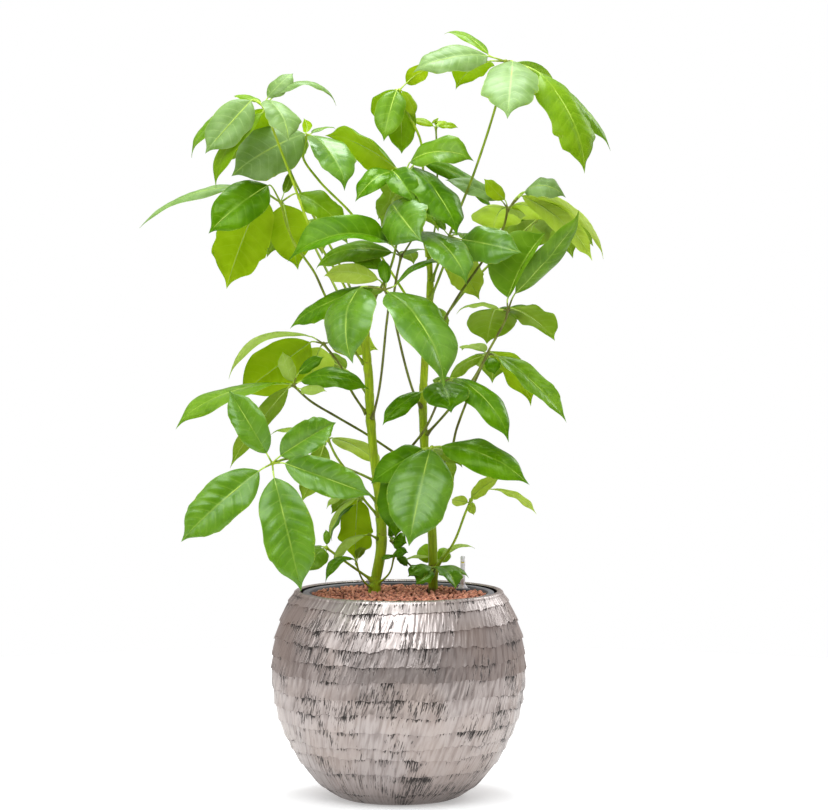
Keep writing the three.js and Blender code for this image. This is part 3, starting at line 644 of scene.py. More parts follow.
        blade((-66, 8, 474), (-114, -16, 453), 22, up, 8, "sage"),
        blade((-62, 2, 472), (-110, -38, 409), 30, left, 10, "sage"),
        blade((-70, 24, 458), (-108, 22, 402), 30, left, 8, "deep"),
        blade((-62, 22, 472), (-106, 80, 446), 40, backUp),
    ),
    "leaf_low_single": leaf(
        "stem_left", 402, "green",
        [(-46, 22, 412)],
        blade((-53, 12, 411), (-105, -34, 362), 24, up, 16, "sage"),
    ),
    "leaf_low_left": leaf(
        "stem_left", 336, "bright",
        [(-83, 4, 369), (-113, -20, 391)],
        blade((-118, -22, 390), (-148, -58, 352), 40, frontUp, 6),
        blade((-113, -24, 384), (-112, -40, 370), 10, front, 2),
        blade((-112, -14, 396), (-114, -6, 420), 12, front, 2),
        blade((-120, -10, 393), (-172, 38, 372), 40, up, 6),
    ),
    "leaf_low_shoot": leaf(
        "stem_left", 324, "bright",
        [(-56, 12, 340), (-66, -12, 366)],
        blade((-70, -24, 373), (-116, -80, 337), 26, up, 18, "deep"),
        blade((-64, -20, 374), (-52, -40, 392), 16, backUp, 3, "deep"),
    ),
    "leaf_low_centre": leaf(
        "stem_left", 330, "bright",
        [(-14, 20, 352), (-7, 12, 378)],
        blade((-9, 2, 380), (15, -12, 384), 20, frontUp, 3, "deep"),
        blade((-12, 6, 380), (-26, -16, 371), 18, up, 3, "deep"),
        blade((-3, 14, 377), (14, 14, 361), 16, frontRight, 3, "deep"),
    ),
    "leaf_low_dark": leaf(
        "stem_right", 341, "brown",
        [(21, 44, 361), (1, 38, 384), (-12, 32, 402)],
        blade((-11, 27, 408), (-6, 10, 439), 28, frontRight, 3, "deep"),
        blade((-8, 26, 402), (13, 6, 398), 28, front, 4, "deep"),
        blade((-8, 42, 404), (0, 88, 396), 26, up, 5, "deep"),
    ),
    "leaf_low_right": leaf(
        "stem_right", 352, "bright",
        [(74, 50, 380), (88, 42, 403), (104, 30, 445), (113, 22, 466)],
        blade((113, 16, 469), (158, -8, 502), 30, frontLeft, 5, "cream"),
        blade((146, 12, 483), (216, -12, 444), 28, up, 10, "cream"),
        blade((108, 20, 462), (82, 4, 467), 20, backLeft, 3, "cream"),
        blade((115, 18, 462), (118, 6, 442), 14, front, 2, "cream"),
    ),
    "leaf_foot_right": leaf(
        "stem_right", 350, "green",
        [(55, 34, 358)],
        blade((50, 28, 361), (14, -2, 346), 34, frontUp, 6, "grass", tooth=0.3, teeth=4),
        blade((52, 26, 355), (26, -8, 333), 30, frontUp, 5, "grass", tooth=0.3, teeth=4),
        blade((59, 26, 361), (90, -18, 326), 46, frontRight, 10, "grass", tooth=0.2, teeth=5),
        blade((62, 34, 360), (110, 26, 344), 24, up),
    ),
    "leaf_foot_back": leaf(
        "stem_right", 356, "bright",
        [(58, 84, 368)],
        blade((54, 88, 370), (32, 122, 391), 30, frontLeft, 4, "fresh"),
        blade((62, 88, 370), (76, 116, 391), 24, frontRight, 4, "fresh"),
        blade((64, 90, 374), (120, 104, 393), 24, up, 8, "sage"),
        blade((52, 92, 376), (8, 106, 372), 20, up, 4, "sage"),
    ),
    "leaf_back_top_left": leaf(
        "stem_left", 740, "green",
        [(-100, 80, 850), (-160, 120, 960), (-196, 128, 1042)],
        blade((-206, 132, 1040), (-272, 158, 990), 52, backUp, 14),
        blade((-202, 142, 1040), (-244, 230, 982), 60, backUp, 14),
        blade((-190, 142, 1040), (-176, 238, 992), 60, backUp, 14),
        blade((-186, 132, 1042), (-146, 180, 996), 50, backUp, 12),
    ),
    "leaf_back_upper": leaf(
        "stem_right", 834, "green",
        [(38, 90, 880), (30, 160, 930), (30, 186, 950)],
        blade((22, 190, 948), (-34, 226, 904), 50, backUp, 14),
        blade((24, 200, 948), (-28, 304, 892), 64, backUp, 16),
        blade((34, 202, 948), (62, 318, 886), 64, backUp, 16),
        blade((42, 194, 948), (92, 244, 904), 50, backUp, 14),
        blade((32, 176, 946), (54, 108, 900), 44, frontUp, 10),
    ),
    "leaf_back_left": leaf(
        "stem_left", 690, "green",
        [(-80, 90, 760), (-130, 170, 860), (-150, 200, 902)],
        blade((-160, 200, 900), (-240, 214, 862), 56, backUp, 14),
        blade((-156, 212, 900), (-206, 306, 848), 68, backUp, 16),
        blade((-144, 214, 900), (-118, 322, 852), 72, backUp, 16),
        blade((-138, 202, 900), (-76, 246, 866), 54, backUp, 14),
    ),
    "leaf_back_right": leaf(
        "stem_right", 712, "green",
        [(110, 90, 800), (190, 150, 880), (224, 168, 910)],
        blade((234, 170, 908), (304, 196, 862), 58, backUp, 14),
        blade((230, 182, 906), (272, 280, 846), 68, backUp, 16),
        blade((220, 182, 906), (200, 288, 848), 68, backUp, 16),
        blade((214, 172, 908), (160, 214, 876), 54, backUp, 12),
    ),
    "leaf_back_middle": leaf(
        "stem_right", 640, "green",
        [(46, 110, 712), (42, 166, 766)],
        blade((47, 178, 765), (62, 278, 712), 50, backUp, 16),
        blade((38, 178, 765), (16, 272, 716), 50, backUp, 16),
        blade((50, 168, 765), (72, 200, 724), 38, backUp, 10),
        blade((34, 164, 764), (16, 190, 726), 36, backUp),
    ),
    "leaf_back_low_left": leaf(
        "stem_left", 626, "green",
        [(-76, 96, 664), (-130, 160, 694)],
        blade((-140, 164, 692), (-222, 190, 650), 56, backUp, 14),
        blade((-136, 172, 690), (-190, 270, 638), 66, backUp, 16),
        blade((-126, 174, 690), (-104, 282, 646), 66, backUp, 16),
        blade((-120, 164, 692), (-82, 212, 662), 44, backUp, 12),
    ),
    "leaf_back_low": leaf(
        "stem_right", 470, "green",
        [(40, 110, 500), (34, 160, 536)],
        blade((40, 170, 534), (76, 266, 482), 58, backUp, 14),
        blade((26, 170, 534), (-10, 258, 482), 58, backUp, 14),
        blade((42, 160, 534), (88, 190, 496), 44, backUp, 12),
        blade((24, 160, 534), (-22, 184, 500), 42, backUp, 12),
    ),
}


def leafLook(dark, light, vein, rim, through, share, roughness, gloss, sheen):
    # through is the colour of the light that shines through, and share is how much of it does
    return {"dark": dark, "light": light, "vein": vein, "rim": rim, "through": through, "share": share,
            "roughness": roughness, "gloss": gloss, "sheen": sheen}


# Leaf materials. Every colour is (red, green, blue), linear.
leafLooks = {
    "leafDeep": leafLook(
        (0.036, 0.12, 0.0004), (0.084, 0.215, 0.0015), (0.2, 0.38, 0.02), (0.2, 0.34, 0.02),
        (0.34, 0.6, 0.004), 0.2, 0.24, 0.28, (0.75, 1.0, 0.3)),
    "leafGrass": leafLook(
        (0.05, 0.155, 0.0004), (0.105, 0.25, 0.002), (0.24, 0.42, 0.03), (0.22, 0.36, 0.02),
        (0.38, 0.66, 0.004), 0.2, 0.26, 0.34, (0.75, 1.0, 0.35)),
    "leafWaxy": leafLook(
        (0.07, 0.185, 0.004), (0.125, 0.27, 0.014), (0.28, 0.44, 0.06), (0.3, 0.44, 0.06),
        (0.42, 0.7, 0.01), 0.2, 0.27, 0.55, (0.85, 1.0, 0.8)),
    "leafMid": leafLook(
        (0.085, 0.2, 0.003), (0.16, 0.31, 0.014), (0.32, 0.5, 0.05), (0.32, 0.46, 0.05),
        (0.46, 0.72, 0.008), 0.24, 0.29, 0.36, (0.8, 1.0, 0.5)),
    # a paler copy of the upper side: its lighter colours are painted sheen, standing in for the soft
    # highlight from the lamps above
    "leafPaintedSheen": leafLook(
        (0.13, 0.24, 0.04), (0.23, 0.36, 0.11), (0.4, 0.56, 0.15), (0.42, 0.54, 0.14),
        (0.5, 0.74, 0.04), 0.24, 0.42, 0.42, (0.9, 1.0, 0.9)),
    "leafFresh": leafLook(
        (0.12, 0.245, 0.002), (0.2, 0.35, 0.008), (0.36, 0.52, 0.04), (0.4, 0.52, 0.04),
        (0.58, 0.82, 0.008), 0.34, 0.34, 0.26, (0.8, 1.0, 0.4)),
    "leafYoung": leafLook(
        (0.22, 0.36, 0.003), (0.36, 0.5, 0.014), (0.52, 0.64, 0.08), (0.54, 0.6, 0.08),
        (0.74, 0.88, 0.02), 0.4, 0.34, 0.24, (0.8, 1.0, 0.4)),
    "underOlive": leafLook(
        (0.18, 0.29, 0.02), (0.3, 0.41, 0.05), (0.44, 0.56, 0.1), (0.42, 0.5, 0.07),
        (0.62, 0.82, 0.01), 0.42, 0.5, 0.14, (0.8, 1.0, 0.4)),
    "underSage": leafLook(
        (0.28, 0.39, 0.06), (0.42, 0.54, 0.13), (0.5, 0.6, 0.2), (0.46, 0.56, 0.16),
        (0.64, 0.82, 0.05), 0.38, 0.5, 0.16, (0.9, 1.0, 0.8)),
    "underPale": leafLook(
        (0.37, 0.48, 0.055), (0.52, 0.62, 0.12), (0.64, 0.74, 0.24), (0.6, 0.68, 0.2),
        (0.76, 0.92, 0.13), 0.42, 0.5, 0.14, (0.9, 1.0, 0.7)),
    "underLit": leafLook(
        (0.34, 0.49, 0.004), (0.49, 0.62, 0.02), (0.6, 0.74, 0.06), (0.56, 0.66, 0.04),
        (0.8, 0.98, 0.01), 0.52, 0.5, 0.1, (0.8, 1.0, 0.4)),
}
barkLooks = {  # dark, light, aged, roughness, stretch of the streaks, scale of the blotches, where aged
    "leafStalk": ((0.16, 0.25, 0.008), (0.29, 0.39, 0.02), (0.1, 0.075, 0.02), 0.42, (160, 160, 12), 9.0),
    "brightStalk": ((0.26, 0.4, 0.006), (0.42, 0.56, 0.03), (0.3, 0.36, 0.03), 0.42, (160, 160, 12), 9.0),
    "brownStalk": ((0.1, 0.1, 0.014), (0.19, 0.23, 0.02), (0.09, 0.045, 0.026), 0.4, (160, 160, 12), 9.0),
    "leafVein": ((0.34, 0.5, 0.05), (0.46, 0.62, 0.1), (0.36, 0.46, 0.06), 0.4, (120, 120, 120), 60.0),
    "stemSkin": ((0.24, 0.37, 0.003), (0.38, 0.51, 0.01), (0.2, 0.15, 0.03), 0.45, (260, 260, 14), 60.0,
                 "aged"),
}


def bladeMaterial(name, look):
    # the map's x counts the side veins, and its y crosses the blade from margin to margin
    made, tree, shader, place = newMaterial(name)
    parts = partsOf(tree, surfaceMap(tree))
    across = times(tree, awayFrom(tree, parts["Y"], 0.5), 2.0)
    fromVein = mathOf(tree, "PINGPONG", parts["X"], 0.5)
    patches = rangeOf(tree, noiseOf(tree, place, 34.0, 4.0), 0.3, 0.72)
    colour = mixColour(tree, patches, look["dark"], look["light"])
    colour = mixColour(tree, rangeOf(tree, fromVein, 0.16, 0.02, 0.0, 0.3), colour, look["light"])
    fade = rangeOf(tree, across, 0.9, 0.3, 0.05, 0.5)
    veinLine = times(tree, rangeOf(tree, fromVein, 0.045, 0.008), fade)
    colour = mixColour(tree, veinLine, colour, look["vein"])
    colour = mixColour(tree, rangeOf(tree, across, 0.055, 0.02, 0.0, 0.6), colour, look["vein"])
    colour = mixColour(tree, rangeOf(tree, across, 0.965, 0.99, 0.0, 0.5), colour, look["rim"])
    speckle = rangeOf(tree, noiseOf(tree, place, 900.0, 2.0), 0.3, 0.7, 0.9, 1.08)
    cells = addNode(tree, "ShaderNodeTexVoronoi", {"Vector": place, "Scale": 170.0},
                    feature="DISTANCE_TO_EDGE")
    netting = rangeOf(tree, cells.outputs["Distance"], 0.0, 0.12)
    relief = mathOf(tree, "SUBTRACT", times(tree, netting, 0.35), veinLine)
    rough = look["roughness"]
    fillSockets(tree, shader, {
        "Base Color": vectorOf(tree, "MULTIPLY", colour, speckle),
        "Normal": bumpOf(tree, relief, 0.16, 0.0003),
        "Roughness": rangeOf(tree, noiseOf(tree, place, 22.0, 3.0), 0.3, 0.7, rough - 0.05, rough + 0.08),
        "Specular IOR Level": look["gloss"],
        "Specular Tint": (*look["sheen"], 1),
    })
    glow = mixColour(tree, times(tree, veinLine, 0.5), look["through"], look["vein"])
    through = addNode(tree, "ShaderNodeBsdfTranslucent", {"Color": glow}).outputs[0]
    mixed = addNode(tree, "ShaderNodeMixShader", {"Fac": look["share"], 1: shader.outputs[0], 2: through})
    fillSockets(tree, tree.nodes["Material Output"], {"Surface": mixed.outputs[0]})
    return made


def barkMaterial(name, dark, light, aged, roughness, stretch, patch, attribute=None):
    # a fibrous green skin with fine lengthwise streaks, browned where it is aged
    made, tree, shader, place = newMaterial(name)
    streaks = noiseOf(tree, stretched(tree, place, stretch), 1.0, 4.0, 0.6)
    skin = mixColour(tree, rangeOf(tree, streaks, 0.34, 0.66), dark, light)
    blotches = rangeOf(tree, noiseOf(tree, place, patch, 4.0), 0.5, 0.72, 0.0, 0.75)
    if attribute:
        uneven = rangeOf(tree, streaks, 0.3, 0.7, -0.25, 0.25)
        ragged = rangeOf(tree, plus(tree, attributeOf(tree, attribute), uneven), 0.3, 0.75)
        blotches = mathOf(tree, "MAXIMUM", times(tree, blotches, 0.5), ragged)
    fillSockets(tree, shader, {
        "Base Color": mixColour(tree, blotches, skin, aged),
        "Normal": bumpOf(tree, streaks, 0.5, 0.0006),
        "Roughness": roughness,
        "Specular IOR Level": 0.25,
    })
    return made


plantMaterials = {name: bladeMaterial(name, look) for name, look in leafLooks.items()}
plantMaterials.update({name: barkMaterial(name, *look) for name, look in barkLooks.items()})

tones = {  # upper side, under side
    "deep": ("leafDeep", "underOlive"),
    "mid": ("leafMid", "underOlive"),
    # the upper side with painted sheen
    "paintedSheen": ("leafPaintedSheen", "underOlive"),
    "grass": ("leafGrass", "underOlive"),
    "waxy": ("leafWaxy", "underOlive"),
    "lit": ("leafMid", "underLit"),
    "olive": ("leafFresh", "underOlive"),
    "fresh": ("leafFresh", "underLit"),
    "sage": ("underSage", "underSage"),
    "cream": ("underPale", "underPale"),
    "drab": ("leafMid", "leafMid"),
    "young": ("leafYoung", "leafYoung"),
}
stalkSkins = {"green": "leafStalk", "bright": "brightStalk", "brown": "brownStalk"}

stemShape = {
    "sides": 32,
    "ridges": 9,
    "ridgeDepth": 0.25,
    "nodeSwell": 1.1,
    "nodeHeight": 7,
    "scarDepth": 0.5,
    "bedTop": 317,  # height of the granules, where the foot thickens
    "footSwell": 1.1,
}
stalkShape = {"foot": 4.6, "middle": 2.05, "neck": 1.9, "hub": 3.3, "sides": 12, "thinBelow": 30}
ribShape = {"sides": 10, "atHub": 1.6, "atBase": 1.2, "atTip": 0.25, "sunk": 0.55, "reach": 0.97}
bladeShape = {
    "along": (0, 0.03, 0.08, 0.17, 0.3, 0.44, 0.58, 0.7, 0.79, 0.855, 0.895, 0.93, 0.965, 1),
    "halfWidth": (0.04, 0.26, 0.5, 0.78, 0.96, 1, 0.97, 0.86, 0.68, 0.42, 0.22, 0.11, 0.06, 0),
    "veinGap": 15,
    "veinSlant": 0.64,
    "rowsPerVein": 4,
    "endRows": (0.02, 0.05, 0.95, 0.975, 0.99),
    "columns": ((50, 8), (26, 6), (0, 4)),  # columns in each half of a blade wider than this
    "crowding": 0.86,  # how much the columns crowd towards the margins
    "thickness": 0.5,
    "quilt": 0.6,
    "dents": 3.2,  # depth of the uneven hollows
    "fold": 0.4,
    "droop": 0.48,
    "wave": 3.0,
    "ragged": 0.05,  # how far the margin wanders, as a share of the half width
    "tooth": 0.055,
    "hook": 6.0,  # how far the drip tip curls down
}
bladeSpread = {  # a random share of the value above, and for the last four a value of its own
    "fold": (0.7, 1.3),
    "droop": (0.6, 1.4),
    "wave": (0.6, 1.3),
    "hook": (0.2, 1.4),
    "tooth": (-0.5, 1.3),
    "bend": (-3, 3),
    "twist": (-0.22, 0.22),
    "teeth": (5.5, 8.5),
    "waves": (1.6, 2.8),
}

stemAxes = {name: smoothCurve([placed(p) for p in stem["path"]], 260) for name, stem in stems.items()}


def stemRadius(name, z):
    heights = [placed(p)[2] for p in stems[name]["path"]]
    return np.interp(z, heights, stems[name]["radii"])


def stemPoint(name, height):
    axis = stemAxes[name]
    z = placed((0, 40, height))[2]
    return np.array([np.interp(z, axis[:, 2], axis[:, k]) for k in range(3)])


def stalkLine(plan):
    # from just inside the stem's skin to the hub
    way = [stemPoint(plan["stem"], plan["height"]), *[placed(p) for p in plan["stalk"]]]
    line = smoothCurve(way, 160)
    inside = float(stemRadius(plan["stem"], way[0][2])) - 1.0
    line = line[np.argmax(np.linalg.norm(line[:, :2] - way[0][:2], axis=1) > inside):]
    return evenly(line, max(10, round(reachedAlong(line)[-1] / 5)))


def bladeFrame(plan):
    base, tip = placed(plan["base"]), placed(plan["tip"])
    face = np.array(plan["face"], dtype=float)
    chord = unit(tip - base)
    outward = unit(face - chord * np.dot(face, chord))
    control = (base + tip) / 2 + outward * 2 * plan["arch"]
    return base, control, tip, face


def midribAt(frame, u):
    base, control, tip, face = frame
    u = np.asarray(u, dtype=float)[..., None]
    point = base * (1 - u) ** 2 + control * 2 * u * (1 - u) + tip * u ** 2
    along = (control - base) * 2 * (1 - u) + (tip - control) * 2 * u
    along = along / np.linalg.norm(along, axis=-1, keepdims=True)
    normal = face - along * np.sum(face * along, axis=-1, keepdims=True)
    normal = normal / np.linalg.norm(normal, axis=-1, keepdims=True)
    return point, normal, np.cross(normal, along)


def halfWidthAt(u):
    return np.interp(u, bladeShape["along"], bladeShape["halfWidth"])


def dripTip(u):
    # 0 as far as the tip's beginning, then rising to 1
    return clamp((u - 0.78) / 0.22) ** 2


def addBladeShell(skin, plan, frame, upperSlot, underSlot, rng):
    shape = bladeShape

    def drawn(key):
        return rng.uniform(*bladeSpread[key])

    length = np.linalg.norm(frame[2] - frame[0])
    halfWide = plan["wide"] / 2
    broad = min(1, plan["wide"] / 60)
    veins = int(np.clip(round(length / shape["veinGap"]), 3, 10))
    s = np.linspace(0, 1, veins * shape["rowsPerVein"] + 1)
    s = np.unique(np.round(np.concatenate([s, shape["endRows"]]), 6))
    half = next(count for least, count in shape["columns"] if plan["wide"] > least)
    crowd = shape["crowding"]
    v = np.sin(np.linspace(-1, 1, 2 * half + 1) * math.pi / 2 * crowd) / math.sin(math.pi / 2 * crowd)
    fold = plan.get("fold", shape["fold"] * drawn("fold"))
    droop = plan.get("droop", shape["droop"] * drawn("droop"))
    wave = plan.get("wave", shape["wave"] * drawn("wave")) * broad
    bend = drawn("bend")
    twist = plan.get("twist", drawn("twist"))
    hook = plan.get("hook", shape["hook"] * drawn("hook")) * min(1, length / 120)
    tooth = plan.get("tooth", shape["tooth"] * max(0, drawn("tooth")))
    teeth = plan.get("teeth", drawn("teeth"))
    waves = drawn("waves")
    phases = [rng.uniform(0, 2 * math.pi) for _ in range(2)]

    # every point has a row, grid, that follows the side veins, and a place u along the midrib
    grid, side = np.meshgrid(s, v, indexing="ij")
    mag = np.abs(side)
    u = grid + shape["veinSlant"] * mag ** 1.2 * grid * (1 - grid)
    wide = 0.5 * halfWidthAt(u) + 0.25 * (halfWidthAt(u - 0.03) + halfWidthAt(u + 0.03))
    wide = wide * halfWide * np.clip(u / 0.02, 0.4, 1) * np.clip((1 - u) / 0.03, 0.1, 1) ** 0.5
    margin = np.sin(u * 9 + phases[0] + side) + np.sin(u * 17 + phases[1] - 2 * side)
    saw = (u * teeth + phases[1] + np.where(side > 0, 0.4, 0)) % 1
    notch = np.minimum(saw, (1 - saw) * 4) * clamp((u - 0.45) / 0.2) * clamp((0.97 - u) / 0.1)
    wide = wide * (1 + shape["ragged"] * 0.5 * margin + tooth * (2 * notch - 0.8))

    # the surface swells between the side veins, is dented, and ripples towards the margin
    veinCount = veins * grid + np.where(side > 0, 0.5, 0.0)
    fadeIn = clamp(mag / 0.16) * clamp((1 - mag) / 0.14) * clamp(4 * grid * (1 - grid))
    quilt = np.abs(np.sin(math.pi * veinCount)) * plan.get("quilt", shape["quilt"]) * fadeIn
    spots = np.stack([u * length / 26, wide * side / 20, np.full_like(u, 10 * phases[0])], axis=-1)
    dents = shape["dents"] * (grain(spots, 4) - 0.5) * broad * clamp(8 * u * (1 - u))
    phase = np.where(side > 0, phases[0], phases[1])
    ripple = wave * mag ** 3 * np.sin(2 * math.pi * waves * u + phase) * clamp(u / 0.15)
    relief = quilt * min(1, plan["wide"] / 50) + dents
    height = wide * (fold * mag - droop * mag ** 2) + relief + ripple * wide / max(halfWide, 1)
    turn = plan.get("roll", 0) + twist * (u - 0.3)
    reach = wide * side
    lateral = reach * np.cos(turn) - height * np.sin(turn) + bend * 4 * u * (1 - u)
    rise = reach * np.sin(turn) + height * np.cos(turn) - hook * dripTip(u)
    point, normal, across = midribAt(frame, u)
    middle = point + across * lateral[..., None] + normal * rise[..., None]
    lift = normal * (shape["thickness"] / 2 * (1 - mag ** 6))[..., None]

    # each ring runs over the upper side and back under it
    rings = np.concatenate([middle + lift, (middle - lift)[:, -2:0:-1]], axis=1)
    alongMap = np.concatenate([veinCount, veinCount[:, -2:0:-1], veinCount[:, :1]], axis=1)
    aroundMap = np.concatenate([(v + 1) / 2, ((v + 1) / 2)[-2:0:-1], [0.0]])
    slots = np.where(np.arange(rings.shape[1]) < 2 * half, upperSlot, underSlot)
    addTube(skin, rings, slots, alongMap, aroundMap)
    return bend, hook


def addRib(skin, plan, frame, hub, stalkSlot, ribSlot, bend, hook):
    # the leaflet's own stalk, which runs on as the midrib
    base, control = frame[:2]
    gap = np.linalg.norm(base - hub)
    t = np.linspace(0, 1, max(4, round(gap / 4)), endpoint=False)[:, None]
    startWay = unit(base - hub) * gap
    endWay = unit(control - base) * gap
    stalk = ((2 * t ** 3 - 3 * t ** 2 + 1) * hub + (t ** 3 - 2 * t ** 2 + t) * startWay
             + (-2 * t ** 3 + 3 * t ** 2) * base + (t ** 3 - t ** 2) * endWay)
    u = np.linspace(0, ribShape["reach"], 22)
    point, normal, across = midribAt(frame, u)
    small = min(1, plan["wide"] / 45)
    radii = (ribShape["atBase"] + (ribShape["atTip"] - ribShape["atBase"]) * u ** 0.8) * (0.5 + 0.5 * small)
    sunk = radii * ribShape["sunk"] + hook * dripTip(u)
    lowered = point - normal * sunk[:, None] + across * (bend * 4 * u * (1 - u))[:, None]
    stalkRadii = np.linspace(ribShape["atHub"] * (0.55 + 0.45 * small), radii[0], len(stalk))
    line = np.concatenate([stalk, lowered])
    rings = rodRings(line, np.concatenate([stalkRadii, radii]), ribShape["sides"])
    change = max(2, round(len(stalk) * 0.55))  # where its own stalk takes the midrib's colour
    slots = np.where(np.arange(len(rings) - 1) < change, stalkSlot, ribSlot)
    addTube(skin, rings, slots[:, None], reachedAlong(line) / 20)


def buildLeaf(name, plan):
    rng = random.Random(name)
    shape = stalkShape
    used = []

    def slotFor(material):
        if material not in used:
            used.append(material)
        return used.index(material)

    skin = newSkin()
    line = stalkLine(plan)
    reached = reachedAlong(line)
    total = reached[-1]
    foot = (shape["foot"] - shape["middle"]) * np.exp(-(reached / 7) ** 1.5)
    neck = (shape["hub"] - shape["neck"]) * np.exp(-((total - reached) / 4) ** 2)
    radii = shape["middle"] + (shape["neck"] - shape["middle"]) * reached / total + foot + neck
    radii = radii * (1 + 0.03 * np.sin(reached / 6 + rng.uniform(0, 6)))
    radii = radii * (0.75 if max(b["wide"] for b in plan["blades"]) < shape["thinBelow"] else 1)
    stalkSlot = slotFor(stalkSkins[plan["skin"]])
    addTube(skin, rodRings(line, radii, shape["sides"]), stalkSlot, reached / 20)
    hub = line[-1]
    ending = unit(hub - line[-2])
    lift = np.linspace(-1, 1, 9)
    knot = [hub + ending * radii[-1] * k for k in lift]
    knotRings = rodRings(knot, radii[-1] * 1.04 * np.sqrt(1.02 - lift ** 2), shape["sides"])
    addTube(skin, knotRings, stalkSlot, lift * 0.1)
    for one in plan["blades"]:
        frame = bladeFrame(one)
        upper, under = tones[one["tone"]]
        bend, hook = addBladeShell(skin, one, frame, slotFor(upper), slotFor(under), rng)
        addRib(skin, one, frame, hub, stalkSlot, slotFor("leafVein"), bend, hook)
    made = makeObject(name + "_living", skin, [plantMaterials[key] for key in used], sharp=62)
    finishPiece(made, "leaf", name)


def buildStem(name):
    rng = random.Random(name)
    shape = stemShape
    sides = shape["sides"]
    axis = stemAxes[name]
    axis = evenly(axis, round(reachedAlong(axis)[-1] / 2.2))
    radii = stemRadius(name, axis[:, 2])
    turn = turnsOf(sides)
    z = axis[:, 2][:, None]
    size = np.repeat(radii[:, None], sides, axis=1)
    drift = 0.6 * np.sin(z / 90 + rng.uniform(0, 6))
    size = size + shape["ridgeDepth"] * np.cos(shape["ridges"] * (turn[None] + drift))
    aged = np.zeros_like(size)
    way = rodRings(axis, radii, sides) - axis[:, None]
    # a leaf leaves the stem from a swollen node, with a browned scar over it
    for plan in leaves.values():
        if plan["stem"] != name:
            continue
        foot = stemPoint(name, plan["height"])
        away = placed(plan["stalk"][0]) - foot
        facing = np.cos(np.arctan2(way[..., 1], way[..., 0]) - math.atan2(away[1], away[0]))
        near = np.exp(-((z - foot[2]) / shape["nodeHeight"]) ** 2)
        groove = np.exp(-((z - foot[2] - 9 - 2 * facing) / 1.3) ** 2)
        size = size + shape["nodeSwell"] * near * (0.55 + 0.45 * facing) - shape["scarDepth"] * groove
        aged = np.maximum(aged, groove * (0.45 + 0.25 * facing))
    bottom = np.exp(-np.clip(z - shape["bedTop"], 0, None) / 6)
    size = size + shape["footSwell"] * bottom
    aged = np.maximum(aged, bottom * stems[name]["brownFoot"])
    skin = newSkin()
    addTube(skin, rodRings(axis, size, sides), 0, np.arange(len(axis)) / 10)
    made = makeObject(name + "_living", skin, [plantMaterials["stemSkin"]])
    storeOnPoints(made, "aged", aged)
    finishPiece(made, "stem", name)


for stemName in stems:
    buildStem(stemName)
for leafName, leafPlan in leaves.items():
    buildLeaf(leafName, leafPlan)
print("stems and leaves done")


# The planter is a globe with hand-tooled bands under silver leaf.
planter = {
    "outside": [(88, 0), (96, 3), (118, 16), (137, 34), (159, 62), (174, 90), (190, 128), (197, 165),
                (200, 207), (195, 249), (187, 277), (175, 305), (165, 320)],
    "rim": [(163.4, 322.6), (161.2, 324.4), (158.2, 325), (155.6, 324.6), (153.8, 323)],
    "wall": 5,
    "floor": [(116, 18), (100, 8), (30, 8)],
    "under": [40, 80, 88],  # radii of the rows under the foot
    "lips": [3.0, 20.6, 55, 80, 99, 124, 150.5, 175, 204, 228, 253.5, 280, 307, 320],  # edges of the bands
    "rows": [0, 0.03, 0.09, 0.2, 0.34, 0.5, 0.65, 0.78, 0.88, 0.95, 0.995],  # rows of points in a band
    "lean": 2.1,  # how far a band's lower lip stands out
    "wander": 4.0,  # how far a lip wanders up and down
    "teeth": 2.2,
    "strokes": 0.5,  # depth of the tool's strokes
    "slant": 0.3,
    "columns": 560,
    "silver": (0.425, 0.375, 0.36),
    "washed": (0.28, 0.24, 0.228),
    "warm": (0.4, 0.32, 0.28),
    # painted shade near the floor: the silver darkens to the next colour towards the foot
    "foot": (0.2, 0.16, 0.145),
    "patina": (0.032, 0.027, 0.025),
}


def planterCurve(points, count):
    flat = [np.array([r, 0.0, z]) for r, z in points]
    return smoothCurve(flat, count)[:, [0, 2]]


